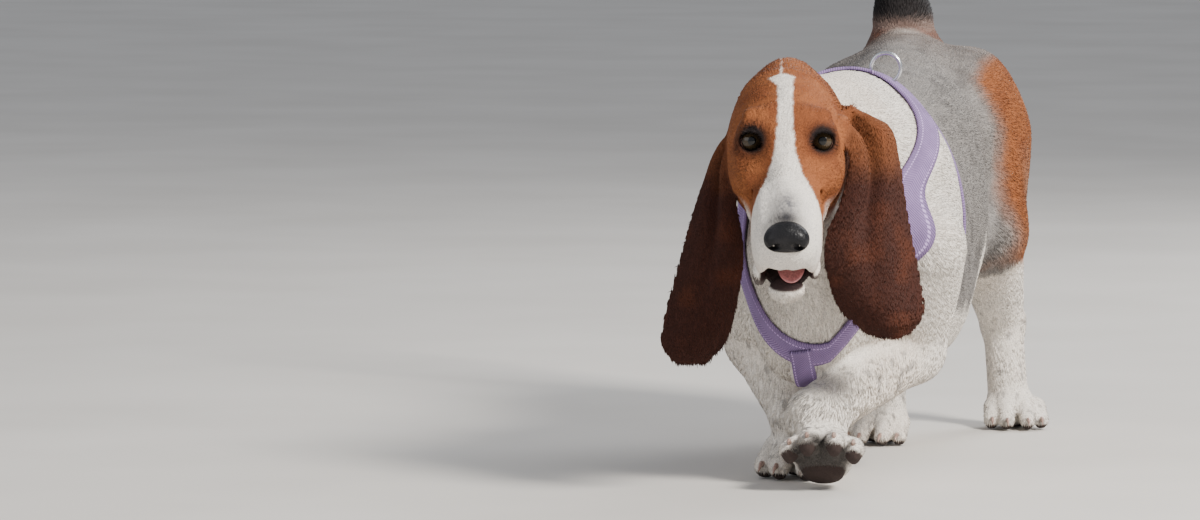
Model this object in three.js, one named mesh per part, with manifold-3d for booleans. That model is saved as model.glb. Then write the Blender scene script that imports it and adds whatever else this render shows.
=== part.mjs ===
// A basset hound in mid-stride, modelled life-size as a museum would show it.
// Millimetres, +Z up. The dog faces -Y and its left side is towards +X; its feet stand on z = 0.
import * as THREE from "three";
import { mergeVertices } from "three/addons/utils/BufferGeometryUtils.js";
import Module from "manifold-3d";

const wasm = await Module();
wasm.setup();

// Driving dimensions
const GAP = 0.3; // clearance between pieces that touch
const TRUNK_HALF_WIDTH = 102;
const EYE_RADIUS = 11.5;
const EYE_SPREAD = 32; // from the middle of the face to each eye's centre
const HEAD_AT = [-21, -391, 328]; // the point between the eyes
const HEAD_PITCH = 29; // degrees, nose down
const HEAD_YAW = 8.5; // degrees, towards the dog's left
const EAR_THICKNESS = 4.5;
const STRAP_WIDTH = 20;
const STRAP_THICKNESS = 2.6;
const RING = { radius: 14, wire: 1.8, along: -116, rise: 13 }; // the ring at the withers
const BODY_STEP = 7; // grid of the body's surface before it is simplified
const HEAD_STEP = 3;
const BODY_TRIANGLES = 5200;
const HEAD_TRIANGLES = 2800;

const radians = THREE.MathUtils.degToRad;
const vec = (p) => new THREE.Vector3(...p);
const mix = (a, b, t) => a + (b - a) * t;
const sides = { left: 1, right: -1 };

// A frame that places the points and shapes of one part of the body; turn is pitch, roll, yaw in degrees
function frame(origin, turn = [0, 0, 0]) {
  const euler = new THREE.Euler(...turn.map(radians), "ZXY");
  const matrix = new THREE.Matrix4().makeRotationFromEuler(euler).setPosition(...origin);
  return { matrix, at: (...p) => vec(p).applyMatrix4(matrix).toArray() };
}
const WORLD = frame([0, 0, 0]);
const HEAD = frame(HEAD_AT, [HEAD_PITCH, 0, HEAD_YAW]);

// Round shapes with a signed distance; beyond its reach a shape has no effect
function ball(centre, radii, { turn = [0, 0, 0], blend = 25, cut = false, within = WORLD } = {}) {
  const own = within.matrix.clone().multiply(frame(centre, turn).matrix);
  const m = own.clone().invert().elements;
  const middle = new THREE.Vector3().setFromMatrixPosition(own);
  const [rx, ry, rz] = radii;
  const distance = (x, y, z) => {
    const u = (m[0] * x + m[4] * y + m[8] * z + m[12]) / rx;
    const v = (m[1] * x + m[5] * y + m[9] * z + m[13]) / ry;
    const w = (m[2] * x + m[6] * y + m[10] * z + m[14]) / rz;
    const k0 = Math.sqrt(u * u + v * v + w * w);
    const k1 = Math.sqrt((u * u) / (rx * rx) + (v * v) / (ry * ry) + (w * w) / (rz * rz));
    return k1 < 1e-9 ? -Math.min(rx, ry, rz) : (k0 * (k0 - 1)) / k1;
  };
  return { distance, middle, reach: Math.max(rx, ry, rz), blend, cut };
}

function limb(from, to, r0, r1, { blend = 25, cut = false, within = WORLD } = {}) {
  const [ax, ay, az] = within.at(...from);
  const [bx, by, bz] = within.at(...to);
  const dx = bx - ax;
  const dy = by - ay;
  const dz = bz - az;
  const length2 = dx * dx + dy * dy + dz * dz;
  const distance = (x, y, z) => {
    const px = x - ax;
    const py = y - ay;
    const pz = z - az;
    const t = Math.min(1, Math.max(0, (px * dx + py * dy + pz * dz) / length2));
    return Math.hypot(px - t * dx, py - t * dy, pz - t * dz) - mix(r0, r1, t);
  };
  const middle = new THREE.Vector3((ax + bx) / 2, (ay + by) / 2, (az + bz) / 2);
  return { distance, middle, reach: Math.sqrt(length2) / 2 + Math.max(r0, r1), blend, cut };
}

function softMin(a, b, k) {
  const h = Math.max(k - Math.abs(a - b), 0) / k;
  return Math.min(a, b) - h * h * k * 0.25;
}

// A field of signed distance: each limb blends with the trunk, and not with the other limbs
function fieldOf(trunk, ...limbs) {
  const lists = [trunk, ...limbs];
  const blended = (start, shapes, x, y, z) => {
    let d = start;
    for (const s of shapes) {
      const e = s.distance(x, y, z);
      d = s.cut ? -softMin(-d, e, s.blend) : softMin(d, e, s.blend);
    }
    return d;
  };
  const near = (p, radius) => {
    const isNear = (s) => s.middle.distanceTo(p) - s.reach - s.blend < radius;
    const [base, ...others] = lists.map((list) => list.filter(isNear));
    return (x, y, z) => {
      const start = blended(1000, base, x, y, z);
      let d = start;
      for (const list of others) {
        if (list.length) d = Math.min(d, blended(start, list, x, y, z));
      }
      return d;
    };
  };
  return { near, value: near(new THREE.Vector3(), 1e6) };
}

// Surface of a field inside a box, by marching tetrahedra on a grid
function surfaceOf(field, low, high, step) {
  const count = low.map((l, i) => Math.ceil((high[i] - l) / step) + 1);
  const [nx, ny, nz] = count;
  const values = new Float32Array(nx * ny * nz).fill(1);
  const BLOCK = 8;
  const blockRadius = (BLOCK * step * Math.sqrt(3)) / 2;
  for (let k0 = 0; k0 < nz; k0 += BLOCK) {
    for (let j0 = 0; j0 < ny; j0 += BLOCK) {
      for (let i0 = 0; i0 < nx; i0 += BLOCK) {
        const corner = [i0, j0, k0];
        const centre = vec(low.map((l, a) => l + (corner[a] + (BLOCK - 1) / 2) * step));
        const value = field.near(centre, blockRadius + 3 * step);
        const middle = value(...centre.toArray());
        const isFar = Math.abs(middle) > 2 * blockRadius + 20;
        fillBlock(values, count, corner, BLOCK, (i, j, k) => {
          const onRim = [i, j, k].some((n, a) => n === 0 || n === count[a] - 1);
          if (onRim) return step;
          if (isFar) return Math.sign(middle);
          const d = value(low[0] + i * step, low[1] + j * step, low[2] + k * step);
          return Math.abs(d) < 1e-3 ? 1e-3 : d;
        });
      }
    }
  }
  return marched(values, count, low, step);
}

function fillBlock(values, [nx, ny, nz], [i0, j0, k0], size, fill) {
  for (let k = k0; k < Math.min(k0 + size, nz); k += 1) {
    for (let j = j0; j < Math.min(j0 + size, ny); j += 1) {
      for (let i = i0; i < Math.min(i0 + size, nx); i += 1) values[i + nx * (j + ny * k)] = fill(i, j, k);
    }
  }
}

// The six tetrahedra of a cube that share its long diagonal, as corner bits, all wound the same way
const TETRAHEDRA = [
  [0, 1, 3, 7],
  [0, 3, 2, 7],
  [0, 2, 6, 7],
  [0, 6, 4, 7],
  [0, 4, 5, 7],
  [0, 5, 1, 7],
];
// For each set of inside corners, as bits: the crossed edges of its triangle or quad
const CROSSINGS = {
  1: [[0, 1], [0, 2], [0, 3]],
  2: [[1, 0], [1, 3], [1, 2]],
  4: [[2, 3], [2, 0], [2, 1]],
  8: [[3, 2], [3, 1], [3, 0]],
  3: [[0, 2], [0, 3], [1, 3], [1, 2]],
  5: [[0, 3], [0, 1], [2, 1], [2, 3]],
  9: [[0, 1], [0, 2], [3, 2], [3, 1]],
  6: [[1, 0], [1, 3], [2, 3], [2, 0]],
  10: [[1, 2], [1, 0], [3, 0], [3, 2]],
  12: [[2, 0], [2, 1], [3, 1], [3, 0]],
};

function marched(values, [nx, ny, nz], low, step) {
  const positions = [];
  const faces = [];
  const made = new Map();
  const offset = (bits) => (bits & 1) + nx * (((bits >> 1) & 1) + ny * (bits >> 2));
  const vertexOn = (a, b, bitsA, bitsB, cell) => {
    const [p, q, bp, bq] = a < b ? [a, b, bitsA, bitsB] : [b, a, bitsB, bitsA];
    const key = p * 8 + (bq - bp);
    if (made.has(key)) return made.get(key);
    const t = Math.min(0.97, Math.max(0.03, values[p] / (values[p] - values[q])));
    for (let axis = 0; axis < 3; axis += 1) {
      positions.push(low[axis] + (cell[axis] + mix((bp >> axis) & 1, (bq >> axis) & 1, t)) * step);
    }
    made.set(key, positions.length / 3 - 1);
    return positions.length / 3 - 1;
  };
  for (let k = 0; k < nz - 1; k += 1) {
    for (let j = 0; j < ny - 1; j += 1) {
      for (let i = 0; i < nx - 1; i += 1) {
        const base = i + nx * (j + ny * k);
        let inside = 0;
        for (let bits = 0; bits < 8; bits += 1) inside += values[base + offset(bits)] < 0;
        if (inside === 0 || inside === 8) continue;
        for (const tetra of TETRAHEDRA) {
          const ids = tetra.map((bits) => base + offset(bits));
          let mask = 0;
          ids.forEach((id, n) => (mask |= values[id] < 0 ? 1 << n : 0));
          if (mask === 0 || mask === 15) continue;
          const flipped = CROSSINGS[mask] === undefined;
          const edges = CROSSINGS[flipped ? 15 - mask : mask];
          const ring = edges.map(([a, b]) => vertexOn(ids[a], ids[b], tetra[a], tetra[b], [i, j, k]));
          if (flipped) ring.reverse();
          for (let n = 2; n < ring.length; n += 1) faces.push([ring[0], ring[n - 1], ring[n]]);
        }
      }
    }
  }
  return { positions, faces };
}

// Collapses the edges that change a closed surface least, until a wanted number of triangles is left
function simplified({ positions, faces }, wanted) {
  const p = positions.slice();
  const quadrics = Array.from({ length: p.length / 3 }, () => new Float64Array(10));
  const touching = quadrics.map(() => new Set());
  const alive = faces.map(() => true);
  const stamp = new Uint32Array(quadrics.length);
  const at = (v) => [p[3 * v], p[3 * v + 1], p[3 * v + 2]];
  const normalOf = ([a, b, c]) => {
    const [o, u, v] = [at(a), at(b), at(c)];
    const [ux, uy, uz] = u.map((n, i) => n - o[i]);
    const [vx, vy, vz] = v.map((n, i) => n - o[i]);
    return [uy * vz - uz * vy, uz * vx - ux * vz, ux * vy - uy * vx];
  };
  faces.forEach((face, f) => {
    const n = normalOf(face);
    const area = Math.hypot(...n) || 1e-12;
    const [a, b, c] = n.map((x) => x / area);
    const o = at(face[0]);
    const d = -(a * o[0] + b * o[1] + c * o[2]);
    const plane = [a * a, a * b, a * c, a * d, b * b, b * c, b * d, c * c, c * d, d * d];
    for (const v of face) {
      touching[v].add(f);
      plane.forEach((x, i) => (quadrics[v][i] += x * area));
    }
  });
  const costAt = (q, [x, y, z]) =>
    q[0] * x * x + 2 * q[1] * x * y + 2 * q[2] * x * z + 2 * q[3] * x + q[4] * y * y +
    2 * q[5] * y * z + 2 * q[6] * y + q[7] * z * z + 2 * q[8] * z + q[9];
  const bestPoint = (q, a, b) => {
    const [c00, c01, c02] = [q[4] * q[7] - q[5] * q[5], q[2] * q[5] - q[1] * q[7], q[1] * q[5] - q[2] * q[4]];
    const det = q[0] * c00 + q[1] * c01 + q[2] * c02;
    const middle = a.map((x, i) => (x + b[i]) / 2);
    const scale = q[0] + q[4] + q[7];
    if (Math.abs(det) > 1e-4 * scale ** 3) {
      const [c11, c12, c22] = [q[0] * q[7] - q[2] * q[2], q[1] * q[2] - q[0] * q[5], q[0] * q[4] - q[1] * q[1]];
      const best = [
        -(c00 * q[3] + c01 * q[6] + c02 * q[8]) / det,
        -(c01 * q[3] + c11 * q[6] + c12 * q[8]) / det,
        -(c02 * q[3] + c12 * q[6] + c22 * q[8]) / det,
      ];
      const span = Math.hypot(...a.map((x, i) => x - b[i]));
      if (Math.hypot(...best.map((x, i) => x - middle[i])) < 2 * span) return best;
    }
    return middle;
  };
  const heap = [];
  const push = (item) => {
    let i = heap.push(item) - 1;
    while (i > 0 && heap[(i - 1) >> 1].cost > item.cost) {
      heap[i] = heap[(i - 1) >> 1];
      i = (i - 1) >> 1;
    }
    heap[i] = item;
  };
  const pop = () => {
    const top = heap[0];
    const last = heap.pop();
    const size = heap.length;
    if (!size) return top;
    let i = 0;
    for (let child = 1; child < size; child = 2 * i + 1) {
      if (child + 1 < size && heap[child + 1].cost < heap[child].cost) child += 1;
      if (heap[child].cost >= last.cost) break;
      heap[i] = heap[child];
      i = child;
    }
    heap[i] = last;
    return top;
  };
  const SPREAD_WEIGHT = 1e-3; // prefers short edges where the surface is flat
  const offer = (a, b) => {
    const q = quadrics[a].map((x, i) => x + quadrics[b][i]);
    const point = bestPoint(q, at(a), at(b));
    const span2 = at(a).reduce((s, x, i) => s + (x - at(b)[i]) ** 2, 0);
    push({ cost: Math.max(0, costAt(q, point)) + SPREAD_WEIGHT * span2, a, b, point, made: stamp[a] + stamp[b] });
  };
  const neighbours = (v) => {
    const found = new Set();
    for (const f of touching[v]) for (const u of faces[f]) if (u !== v) found.add(u);
    return found;
  };
  for (const [a, b, c] of faces) {
    if (a < b) offer(a, b);
    if (b < c) offer(b, c);
    if (c < a) offer(c, a);
  }
  const turnsOver = (v, other, point) => {
    for (const f of touching[v]) {
      if (faces[f].includes(other)) continue;
      const before = normalOf(faces[f]);
      const old = at(v);
      [p[3 * v], p[3 * v + 1], p[3 * v + 2]] = point;
      const after = normalOf(faces[f]);
      [p[3 * v], p[3 * v + 1], p[3 * v + 2]] = old;
      const dot = before.reduce((s, x, i) => s + x * after[i], 0);
      if (dot < 0.3 * Math.hypot(...before) * Math.hypot(...after)) return true;
    }
    return false;
  };
  let left = faces.length;
  while (left > wanted && heap.length) {
    const { a, b, point, made } = pop();
    if (!touching[a].size || !touching[b].size || made !== stamp[a] + stamp[b]) continue;
    const around = neighbours(a);
    if (!around.has(b)) continue;
    const shared = [...neighbours(b)].filter((v) => around.has(v));
    if (shared.length !== 2 || shared.some((v) => touching[v].size < 4)) continue;
    if (turnsOver(a, b, point) || turnsOver(b, a, point)) continue;
    [p[3 * a], p[3 * a + 1], p[3 * a + 2]] = point;
    for (const f of touching[b]) {
      if (faces[f].includes(a)) {
        alive[f] = false;
        left -= 1;
        for (const v of faces[f]) if (v !== b) touching[v].delete(f);
      } else {
        faces[f] = faces[f].map((v) => (v === b ? a : v));
        touching[a].add(f);
      }
    }
    touching[b].clear();
    quadrics[a] = quadrics[a].map((x, i) => x + quadrics[b][i]);
    stamp[a] += 1;
    stamp[b] += 1;
    for (const v of neighbours(a)) offer(a, v);
  }
  return { positions: p, faces: faces.filter((_, f) => alive[f]) };
}

// Solids and their joins
function solidOf({ positions, faces }) {
  const mesh = { numProp: 3, vertProperties: new Float32Array(positions), triVerts: new Uint32Array(faces.flat()) };
  return new wasm.Manifold(new wasm.Mesh(mesh));
}

function solidFrom(geometry, matrix = new THREE.Matrix4()) {
  const plain = geometry.clone().applyMatrix4(matrix);
  plain.deleteAttribute("normal");
  plain.deleteAttribute("uv");
  const merged = mergeVertices(plain, 1e-4);
  const index = Array.from(merged.index.array);
  const faces = [];
  for (let i = 0; i < index.length; i += 3) faces.push(index.slice(i, i + 3));
  return solidOf({ positions: Array.from(merged.attributes.position.array), faces });
}

const joined = (solids) => solids.reduce((a, b) => a.add(b));
const without = (solid, cutters) => cutters.reduce((a, b) => a.subtract(b), solid);
const largest = (solid) => solid.decompose().reduce((a, b) => (b.volume() > a.volume() ? b : a));

// The solid with its surface moved out along its own normals
function grown(solid, by) {
  const mesh = solid.getMesh();
  const { vertProperties: v, triVerts: t } = mesh;
  const normals = Array.from({ length: v.length / 3 }, () => new THREE.Vector3());
  const corner = (i) => new THREE.Vector3(v[3 * i], v[3 * i + 1], v[3 * i + 2]);
  for (let f = 0; f < t.length; f += 3) {
    const ids = [t[f], t[f + 1], t[f + 2]];
    const [a, b, c] = ids.map(corner);
    const normal = b.clone().sub(a).cross(c.clone().sub(a)).normalize();
    [[a, b, c], [b, c, a], [c, a, b]].forEach(([o, p, q], n) => {
      const angle = p.clone().sub(o).angleTo(q.clone().sub(o));
      normals[ids[n]].addScaledVector(normal, angle);
    });
  }
  normals.forEach((normal, i) => {
    normal.normalize().multiplyScalar(by);
    v[3 * i] += normal.x;
    v[3 * i + 1] += normal.y;
    v[3 * i + 2] += normal.z;
  });
  return new wasm.Manifold(mesh);
}

const boxSolid = (size, place) => solidFrom(new THREE.BoxGeometry(...size), place.matrix);
const ballSolid = (centre, radius, detail = 16) =>
  solidFrom(new THREE.SphereGeometry(radius, detail, detail * 0.6), new THREE.Matrix4().setPosition(...centre));

// A round sleeve about a bone, flat at both ends, which says how far a leg reaches into the body
function sleeve(from, to, r0, r1, by = 0) {
  const axis = vec(to).sub(vec(from));
  const geometry = new THREE.CylinderGeometry(r1 + by, r0 + by, axis.length() + 2 * by, 20);
  const turn = new THREE.Quaternion().setFromUnitVectors(new THREE.Vector3(0, 1, 0), axis.clone().normalize());
  const middle = vec(from).addScaledVector(axis, 0.5);
  return solidFrom(geometry, new THREE.Matrix4().compose(middle, turn, new THREE.Vector3(1, 1, 1)));
}

// Halves of a solid on either side of a plane, a gap apart; the first lies on the side the normal points to
function parted(solid, point, normal) {
  const n = vec(normal).normalize();
  const offset = n.dot(vec(point));
  const ahead = solid.trimByPlane(n.toArray(), offset + GAP / 2);
  const behind = solid.trimByPlane(n.clone().negate().toArray(), GAP / 2 - offset);
  return [largest(ahead), largest(behind)];
}

const bothSides = (make) => Object.values(sides).map(make);

// Trunk, from the chest back to the rump
const TRUNK = [
  ball([0, -100, 228], [TRUNK_HALF_WIDTH, 170, 136], { blend: 40 }),
  ball([-14, -205, 200], [82, 82, 98], { blend: 40 }),
  ball([8, 70, 222], [98, 165, 130], { blend: 40 }),
  ball([6, 130, 300], [84, 150, 72], { blend: 40 }),
  ball([16, 235, 300], [92, 92, 88], { turn: [0, -5, 0], blend: 35 }),
  limb([-4, -190, 318], [4, -90, 326], 44, 40, { blend: 30 }),
  limb([5, 150, 345], [-4, 290, 350], 38, 40, { blend: 30 }),
  ball([52, -10, 150], [44, 100, 58], { blend: 30 }),
  limb([-28, -245, 135], [-10, -80, 128], 36, 36, { blend: 30 }),
  ball([-28, -262, 140], [34, 28, 45], { blend: 25 }),
  ball([68, -165, 235], [42, 62, 92], { blend: 25 }),
  ball([-72, -165, 232], [44, 62, 92], { blend: 25 }),
  ball([-22, -270, 200], [50, 50, 70], { blend: 30 }),
];
const NECK = [
  limb([0, -175, 285], [-30, -285, 312], 86, 58, { blend: 30 }),
  limb([2, -150, 326], [-33, -268, 339], 42, 32, { blend: 24 }),
  limb([-20, -240, 215], [-22, -326, 238], 56, 36, { blend: 26 }),
];
const TAIL = [
  limb([-5, 288, 372], [-8, 304, 405], 33, 28, { blend: 30 }),
  limb([-8, 304, 405], [-16, 314, 460], 28, 21, { blend: 10 }),
  limb([-16, 314, 460], [-24, 312, 520], 21, 16, { blend: 8 }),
  limb([-24, 312, 520], [-28, 296, 585], 16, 11, { blend: 8 }),
  limb([-28, 296, 585], [-27, 268, 645], 11, 5, { blend: 8 }),
];

// A paw on its own frame: pad down, toes towards -Y, inner toes first
function paw(within, size, spread = 1) {
  const at = (x, y, z) => [x * size, y * size, z * size];
  const shapes = [ball(at(0, -10, 24), at(30, 34, 22), { within, blend: 14 })];
  for (const side of bothSides((s) => s)) {
    const toes = [
      [[12, -28, 30], [13 * spread, -57, 12], 13.5, 11.5],
      [[27, -18, 27], [31 * spread, -43, 11], 13.5, 11.5],
    ];
    for (const [knuckle, tip, r0, r1] of toes) {
      const [k, t] = [knuckle, tip].map(([x, y, z]) => at(x * side, y, z));
      shapes.push(limb(k, t, r0 * size, r1 * size, { within, blend: 5 }));
    }
  }
  return shapes;
}
const pads = (within, size, spread = 1) => {
  const at = (x, y, z) => [x * size, y * size, z * size];
  const toes = [-31, -13, 13, 31].map((x) =>
    ball(at(x * spread, Math.abs(x) > 20 ? -40 : -54, 5), at(8, 11, 7), { within, blend: 2 }));
  return [ball(at(0, -8, 5), at(22, 17, 8), { within, blend: 3 }), ...toes];
};

const FEET = {
  fore_left: { place: frame([3, -318, 6], [-36, 0, 4]), size: 0.95 },
  fore_right: { place: frame([-28, -196, 0], [0, 0, -8]), size: 1 },
  hind_left: { place: frame([106, 292, 0], [0, 0, 12]), size: 0.8 },
  hind_right: { place: frame([-2, 118, 0], [0, 0, -6]), size: 0.8 },
};
const LEGS = {
  fore_left: [
    limb([78, -215, 215], [62, -165, 118], 44, 33, { blend: 28 }),
    limb([62, -165, 118], [-8, -284, 66], 33, 26, { blend: 12 }),
    ball([66, -146, 112], [24, 24, 26], { blend: 14 }),
    ball([-8, -286, 62], [29, 27, 28], { blend: 10 }),
    limb([-8, -286, 60], [0, -308, 34], 26, 24, { blend: 8 }),
  ],
  fore_right: [
    limb([-84, -215, 205], [-80, -160, 125], 44, 34, { blend: 28 }),
    limb([-80, -160, 125], [-34, -208, 52], 34, 27, { blend: 12 }),
    ball([-84, -142, 120], [24, 24, 26], { blend: 14 }),
    ball([-34, -209, 52], [28, 27, 28], { blend: 10 }),
    limb([-34, -209, 52], [-29, -200, 24], 26, 26, { blend: 8 }),
  ],
  hind_left: [
    ball([74, 215, 290], [52, 80, 92], { blend: 26 }),
    limb([72, 220, 290], [90, 178, 205], 56, 42, { blend: 20 }),
    limb([90, 178, 205], [95, 286, 106], 40, 23, { blend: 16 }),
    ball([97, 300, 110], [17, 20, 22], { blend: 12 }),
    limb([96, 286, 104], [102, 284, 25], 21, 21, { blend: 10 }),
  ],
  hind_right: [
    ball([-52, 200, 275], [55, 80, 90], { blend: 30 }),
    limb([-55, 215, 285], [-60, 122, 192], 60, 46, { blend: 20 }),
    limb([-60, 122, 192], [-12, 186, 98], 44, 24, { blend: 16 }),
    ball([-10, 200, 100], [17, 20, 22], { blend: 12 }),
    limb([-10, 186, 96], [1, 112, 26], 22, 22, { blend: 10 }),
  ],
};
for (const [name, { place, size }] of Object.entries(FEET)) {
  LEGS[name].push(...paw(place, size), ...pads(place, size));
}

// Head, in its own frame: the point between the eyes is its origin and -Y runs down the muzzle
const inHead = { within: HEAD };
const SKULL = [
  ball([0, 60, -20], [50, 72, 44], { ...inHead, blend: 20 }),
  ball([0, 25, -16], [42, 46, 34], { ...inHead, blend: 20 }),
  ball([0, 115, -9], [20, 23, 17], { ...inHead, blend: 18 }),
  ball([0, 22, -72], [42, 62, 32], { ...inHead, blend: 25 }),
  limb([0, 0, -32], [0, -92, -47], 31, 27, { ...inHead, blend: 18 }),
  limb([0, -5, -14], [0, -95, -30], 12, 10, { ...inHead, blend: 10 }),
  ball([0, -98, -58], [24, 18, 20], { ...inHead, blend: 12 }),
  ...bothSides((s) => [
    ball([s * 38, 30, -42], [18, 50, 34], { ...inHead, blend: 18 }),
    ball([s * 27, 8, 4], [19, 14, 10], { ...inHead, blend: 12 }),
    ball([s * 30, -8, -34], [18, 26, 18], { ...inHead, blend: 14 }),
    ball([s * 21, -58, -64], [13, 45, 40], { ...inHead, blend: 12 }),
  ]).flat(),
];
const MOUTH = [
  ball([0, -78, -99], [23, 58, 27], { ...inHead, blend: 4, cut: true }),
];
const JAW = [
  limb([0, 0, -108], [0, -82, -110], 19, 13, { ...inHead, blend: 10 }),
  ball([0, -88, -107], [18, 12, 13], { ...inHead, blend: 8 }),
];
const TONGUE = [ball([4, -66, -94], [13, 30, 5], { ...inHead, blend: 5 })];
const NOSE = [
  ball([0, -108, -37], [19, 14, 15], { ...inHead, blend: 6 }),
  ...bothSides((s) => ball([s * 11, -113, -37], [9, 9, 9], { ...inHead, blend: 6 })),
  ...bothSides((s) => limb([s * 7, -124, -38], [s * 13, -117, -41], 3.2, 3.2, { ...inHead, blend: 2, cut: true })),
  limb([0, -124, -42], [0, -121, -54], 1, 1, { ...inHead, blend: 2, cut: true }),
];

function modelled(field, low, high, step, wanted) {
  return largest(solidOf(simplified(surfaceOf(field, low, high, step), wanted)));
}

// Ears, from the edge nearest the face to the edge nearest the neck
const EARS = {
  left: {
    front: [[23, -358, 330], [34, -363, 309], [27, -369, 270], [15, -376, 240], [13, -372, 212], [22, -351, 172], [44, -334, 147]],
    back: [[22, -300, 345], [60, -310, 335], [72, -315, 300], [80, -317, 250], [90, -317, 200], [95, -320, 166], [84, -322, 147]],
  },
  right: {
    front: [[-62, -358, 330], [-76, -367, 302], [-71, -371, 262], [-65, -374, 228], [-68, -372, 192], [-80, -367, 144], [-98, -362, 121]],
    back: [[-60, -308, 335], [-90, -330, 312], [-106, -342, 280], [-123, -352, 221], [-141, -360, 145], [-132, -361, 122]],
  },
};
const EAR_BOW = 16;
const EAR_PLEAT = 18;
const EAR_ACROSS = 9;
const EAR_DOWN = 22;

function earSolid({ front, back }, side) {
  const [near, far] = [front, back].map((points) => new THREE.CatmullRomCurve3(points.map(vec), false, "centripetal"));
  const sheets = [[], []];
  for (let j = 0; j <= EAR_DOWN; j += 1) {
    const t = j / EAR_DOWN;
    const [a, b] = [near.getPointAt(t), far.getPointAt(t)];
    const across = b.clone().sub(a);
    const down = near.getTangentAt(t).add(far.getTangentAt(t)).normalize();
    const out = new THREE.Vector3().crossVectors(across, down).normalize().multiplyScalar(-side);
    const narrow = Math.min(1, across.length() / 60);
    for (let i = 0; i <= EAR_ACROSS; i += 1) {
      const s = i / EAR_ACROSS;
      const fold = EAR_PLEAT * Math.exp(-(((s - 0.42) / 0.13) ** 2)) * Math.min(1, Math.max(0, 1.1 - 1.3 * t));
      const wave = EAR_BOW * Math.sin(Math.PI * s) - fold;
      const middle = a.clone().addScaledVector(across, s).addScaledVector(out, wave * narrow);
      const half = Math.max(0.8, (EAR_THICKNESS / 2) * Math.sqrt(1 - (2 * s - 1) ** 4) * Math.sqrt(1 - t ** 8));
      sheets[0].push(middle.clone().addScaledVector(out, half));
      sheets[1].push(middle.clone().addScaledVector(out, -half));
    }
  }
  const wide = EAR_ACROSS + 1;
  const layer = wide * (EAR_DOWN + 1);
  const faces = [];
  const quad = (a, b, c, d) => faces.push([a, b, c], [a, c, d]);
  for (let j = 0; j < EAR_DOWN; j += 1) {
    for (let i = 0; i < EAR_ACROSS; i += 1) {
      const [a, b, c, d] = [j * wide + i, j * wide + i + 1, (j + 1) * wide + i + 1, (j + 1) * wide + i];
      faces.push([a, b, c], [a, c, d], [a + layer, c + layer, b + layer], [a + layer, d + layer, c + layer]);
    }
    const [a, d] = [j * wide, (j + 1) * wide];
    quad(a, d, d + layer, a + layer);
    quad(a + EAR_ACROSS + layer, d + EAR_ACROSS + layer, d + EAR_ACROSS, a + EAR_ACROSS);
  }
  for (let i = 0; i < EAR_ACROSS; i += 1) {
    quad(i, i + layer, i + 1 + layer, i + 1);
    const low = EAR_DOWN * wide + i;
    quad(low + 1, low + 1 + layer, low + layer, low);
  }
  const positions = sheets.flat().flatMap((p) => p.toArray());
  return solidOf({ positions, faces: side > 0 ? faces.map(([a, b, c]) => [a, c, b]) : faces });
}

// Lids: a shell about each eye, open in an almond between two planes that meet behind its front
const LID = { thickness: 2.4, hinge: 5, opening: 56, raised: 26 };

function lidOpening(s) {
  const reach = 30;
  const height = reach * Math.tan(radians(LID.opening));
  const outline = new THREE.Shape([
    new THREE.Vector2(0, 0),
    new THREE.Vector2(-reach, height),
    new THREE.Vector2(-reach, -height),
  ]);
  const wide = 2 * (EYE_RADIUS + LID.thickness) + 6;
  const wedge = new THREE.ExtrudeGeometry(outline, { depth: wide, bevelEnabled: false });
  wedge.translate(0, 0, -wide / 2);
  wedge.applyMatrix4(new THREE.Matrix4().makeBasis(vec([0, 1, 0]), vec([0, 0, 1]), vec([1, 0, 0])));
  const place = frame([s * EYE_SPREAD, 10 - LID.hinge, -7], [-LID.raised, 0, s * 3]);
  return solidFrom(wedge, HEAD.matrix.clone().multiply(place.matrix));
}

// Straps, laid on the surface of the trunk, neck and upper arms
const strapField = fieldOf(
  [...TRUNK, ...NECK],
  [LEGS.fore_left[0], LEGS.fore_left[2]],
  [LEGS.fore_right[0], LEGS.fore_right[2]],
);

function onBody(start, direction) {
  let [inside, outside] = [0, 260];
  const at = (d) => vec(start).addScaledVector(direction, d);
  while (strapField.value(...at(outside).toArray()) < 0) outside += 40;
  for (let d = 0; d < outside; d += 6) {
    if (strapField.value(...at(d).toArray()) > 0) {
      outside = d;
      break;
    }
    inside = d;
  }
  for (let n = 0; n < 14; n += 1) {
    const d = (inside + outside) / 2;
    if (strapField.value(...at(d).toArray()) < 0) inside = d;
    else outside = d;
  }
  return outside;
}
const STRAP_BOW = 42;
const STRAP_ROOT = 1.2; // a strap's height over the smooth skin, which the faceted one departs from

function strapSolid(rows, closed) {
  const positions = rows.flat().flatMap((p) => p.toArray());
  const faces = [];
  const last = closed ? rows.length : rows.length - 1;
  for (let n = 0; n < last; n += 1) {
    const [a, b] = [4 * n, 4 * ((n + 1) % rows.length)];
    for (let i = 0; i < 4; i += 1) {
      const j = (i + 1) % 4;
      faces.push([a + i, b + j, a + j], [a + i, b + i, b + j]);
    }
  }
  if (!closed) {
    const b = 4 * (rows.length - 1);
    faces.push([0, 1, 2], [0, 2, 3], [b + 2, b + 1, b], [b + 3, b + 2, b]);
  }
  return solidOf({ positions, faces });
}

// One row of a strap: its four corners, where a ray from inside the body meets the skin
function strapRow(centre, direction, along) {
  const corner = (w, rise) => {
    const start = vec(centre).addScaledVector(along, w);
    return start.clone().addScaledVector(direction, onBody(start.toArray(), direction) + rise);
  };
  const half = STRAP_WIDTH / 2;
  const top = STRAP_ROOT + STRAP_THICKNESS;
  return [corner(-half, STRAP_ROOT), corner(half, STRAP_ROOT), corner(half, top), corner(-half, top)];
}

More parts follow.
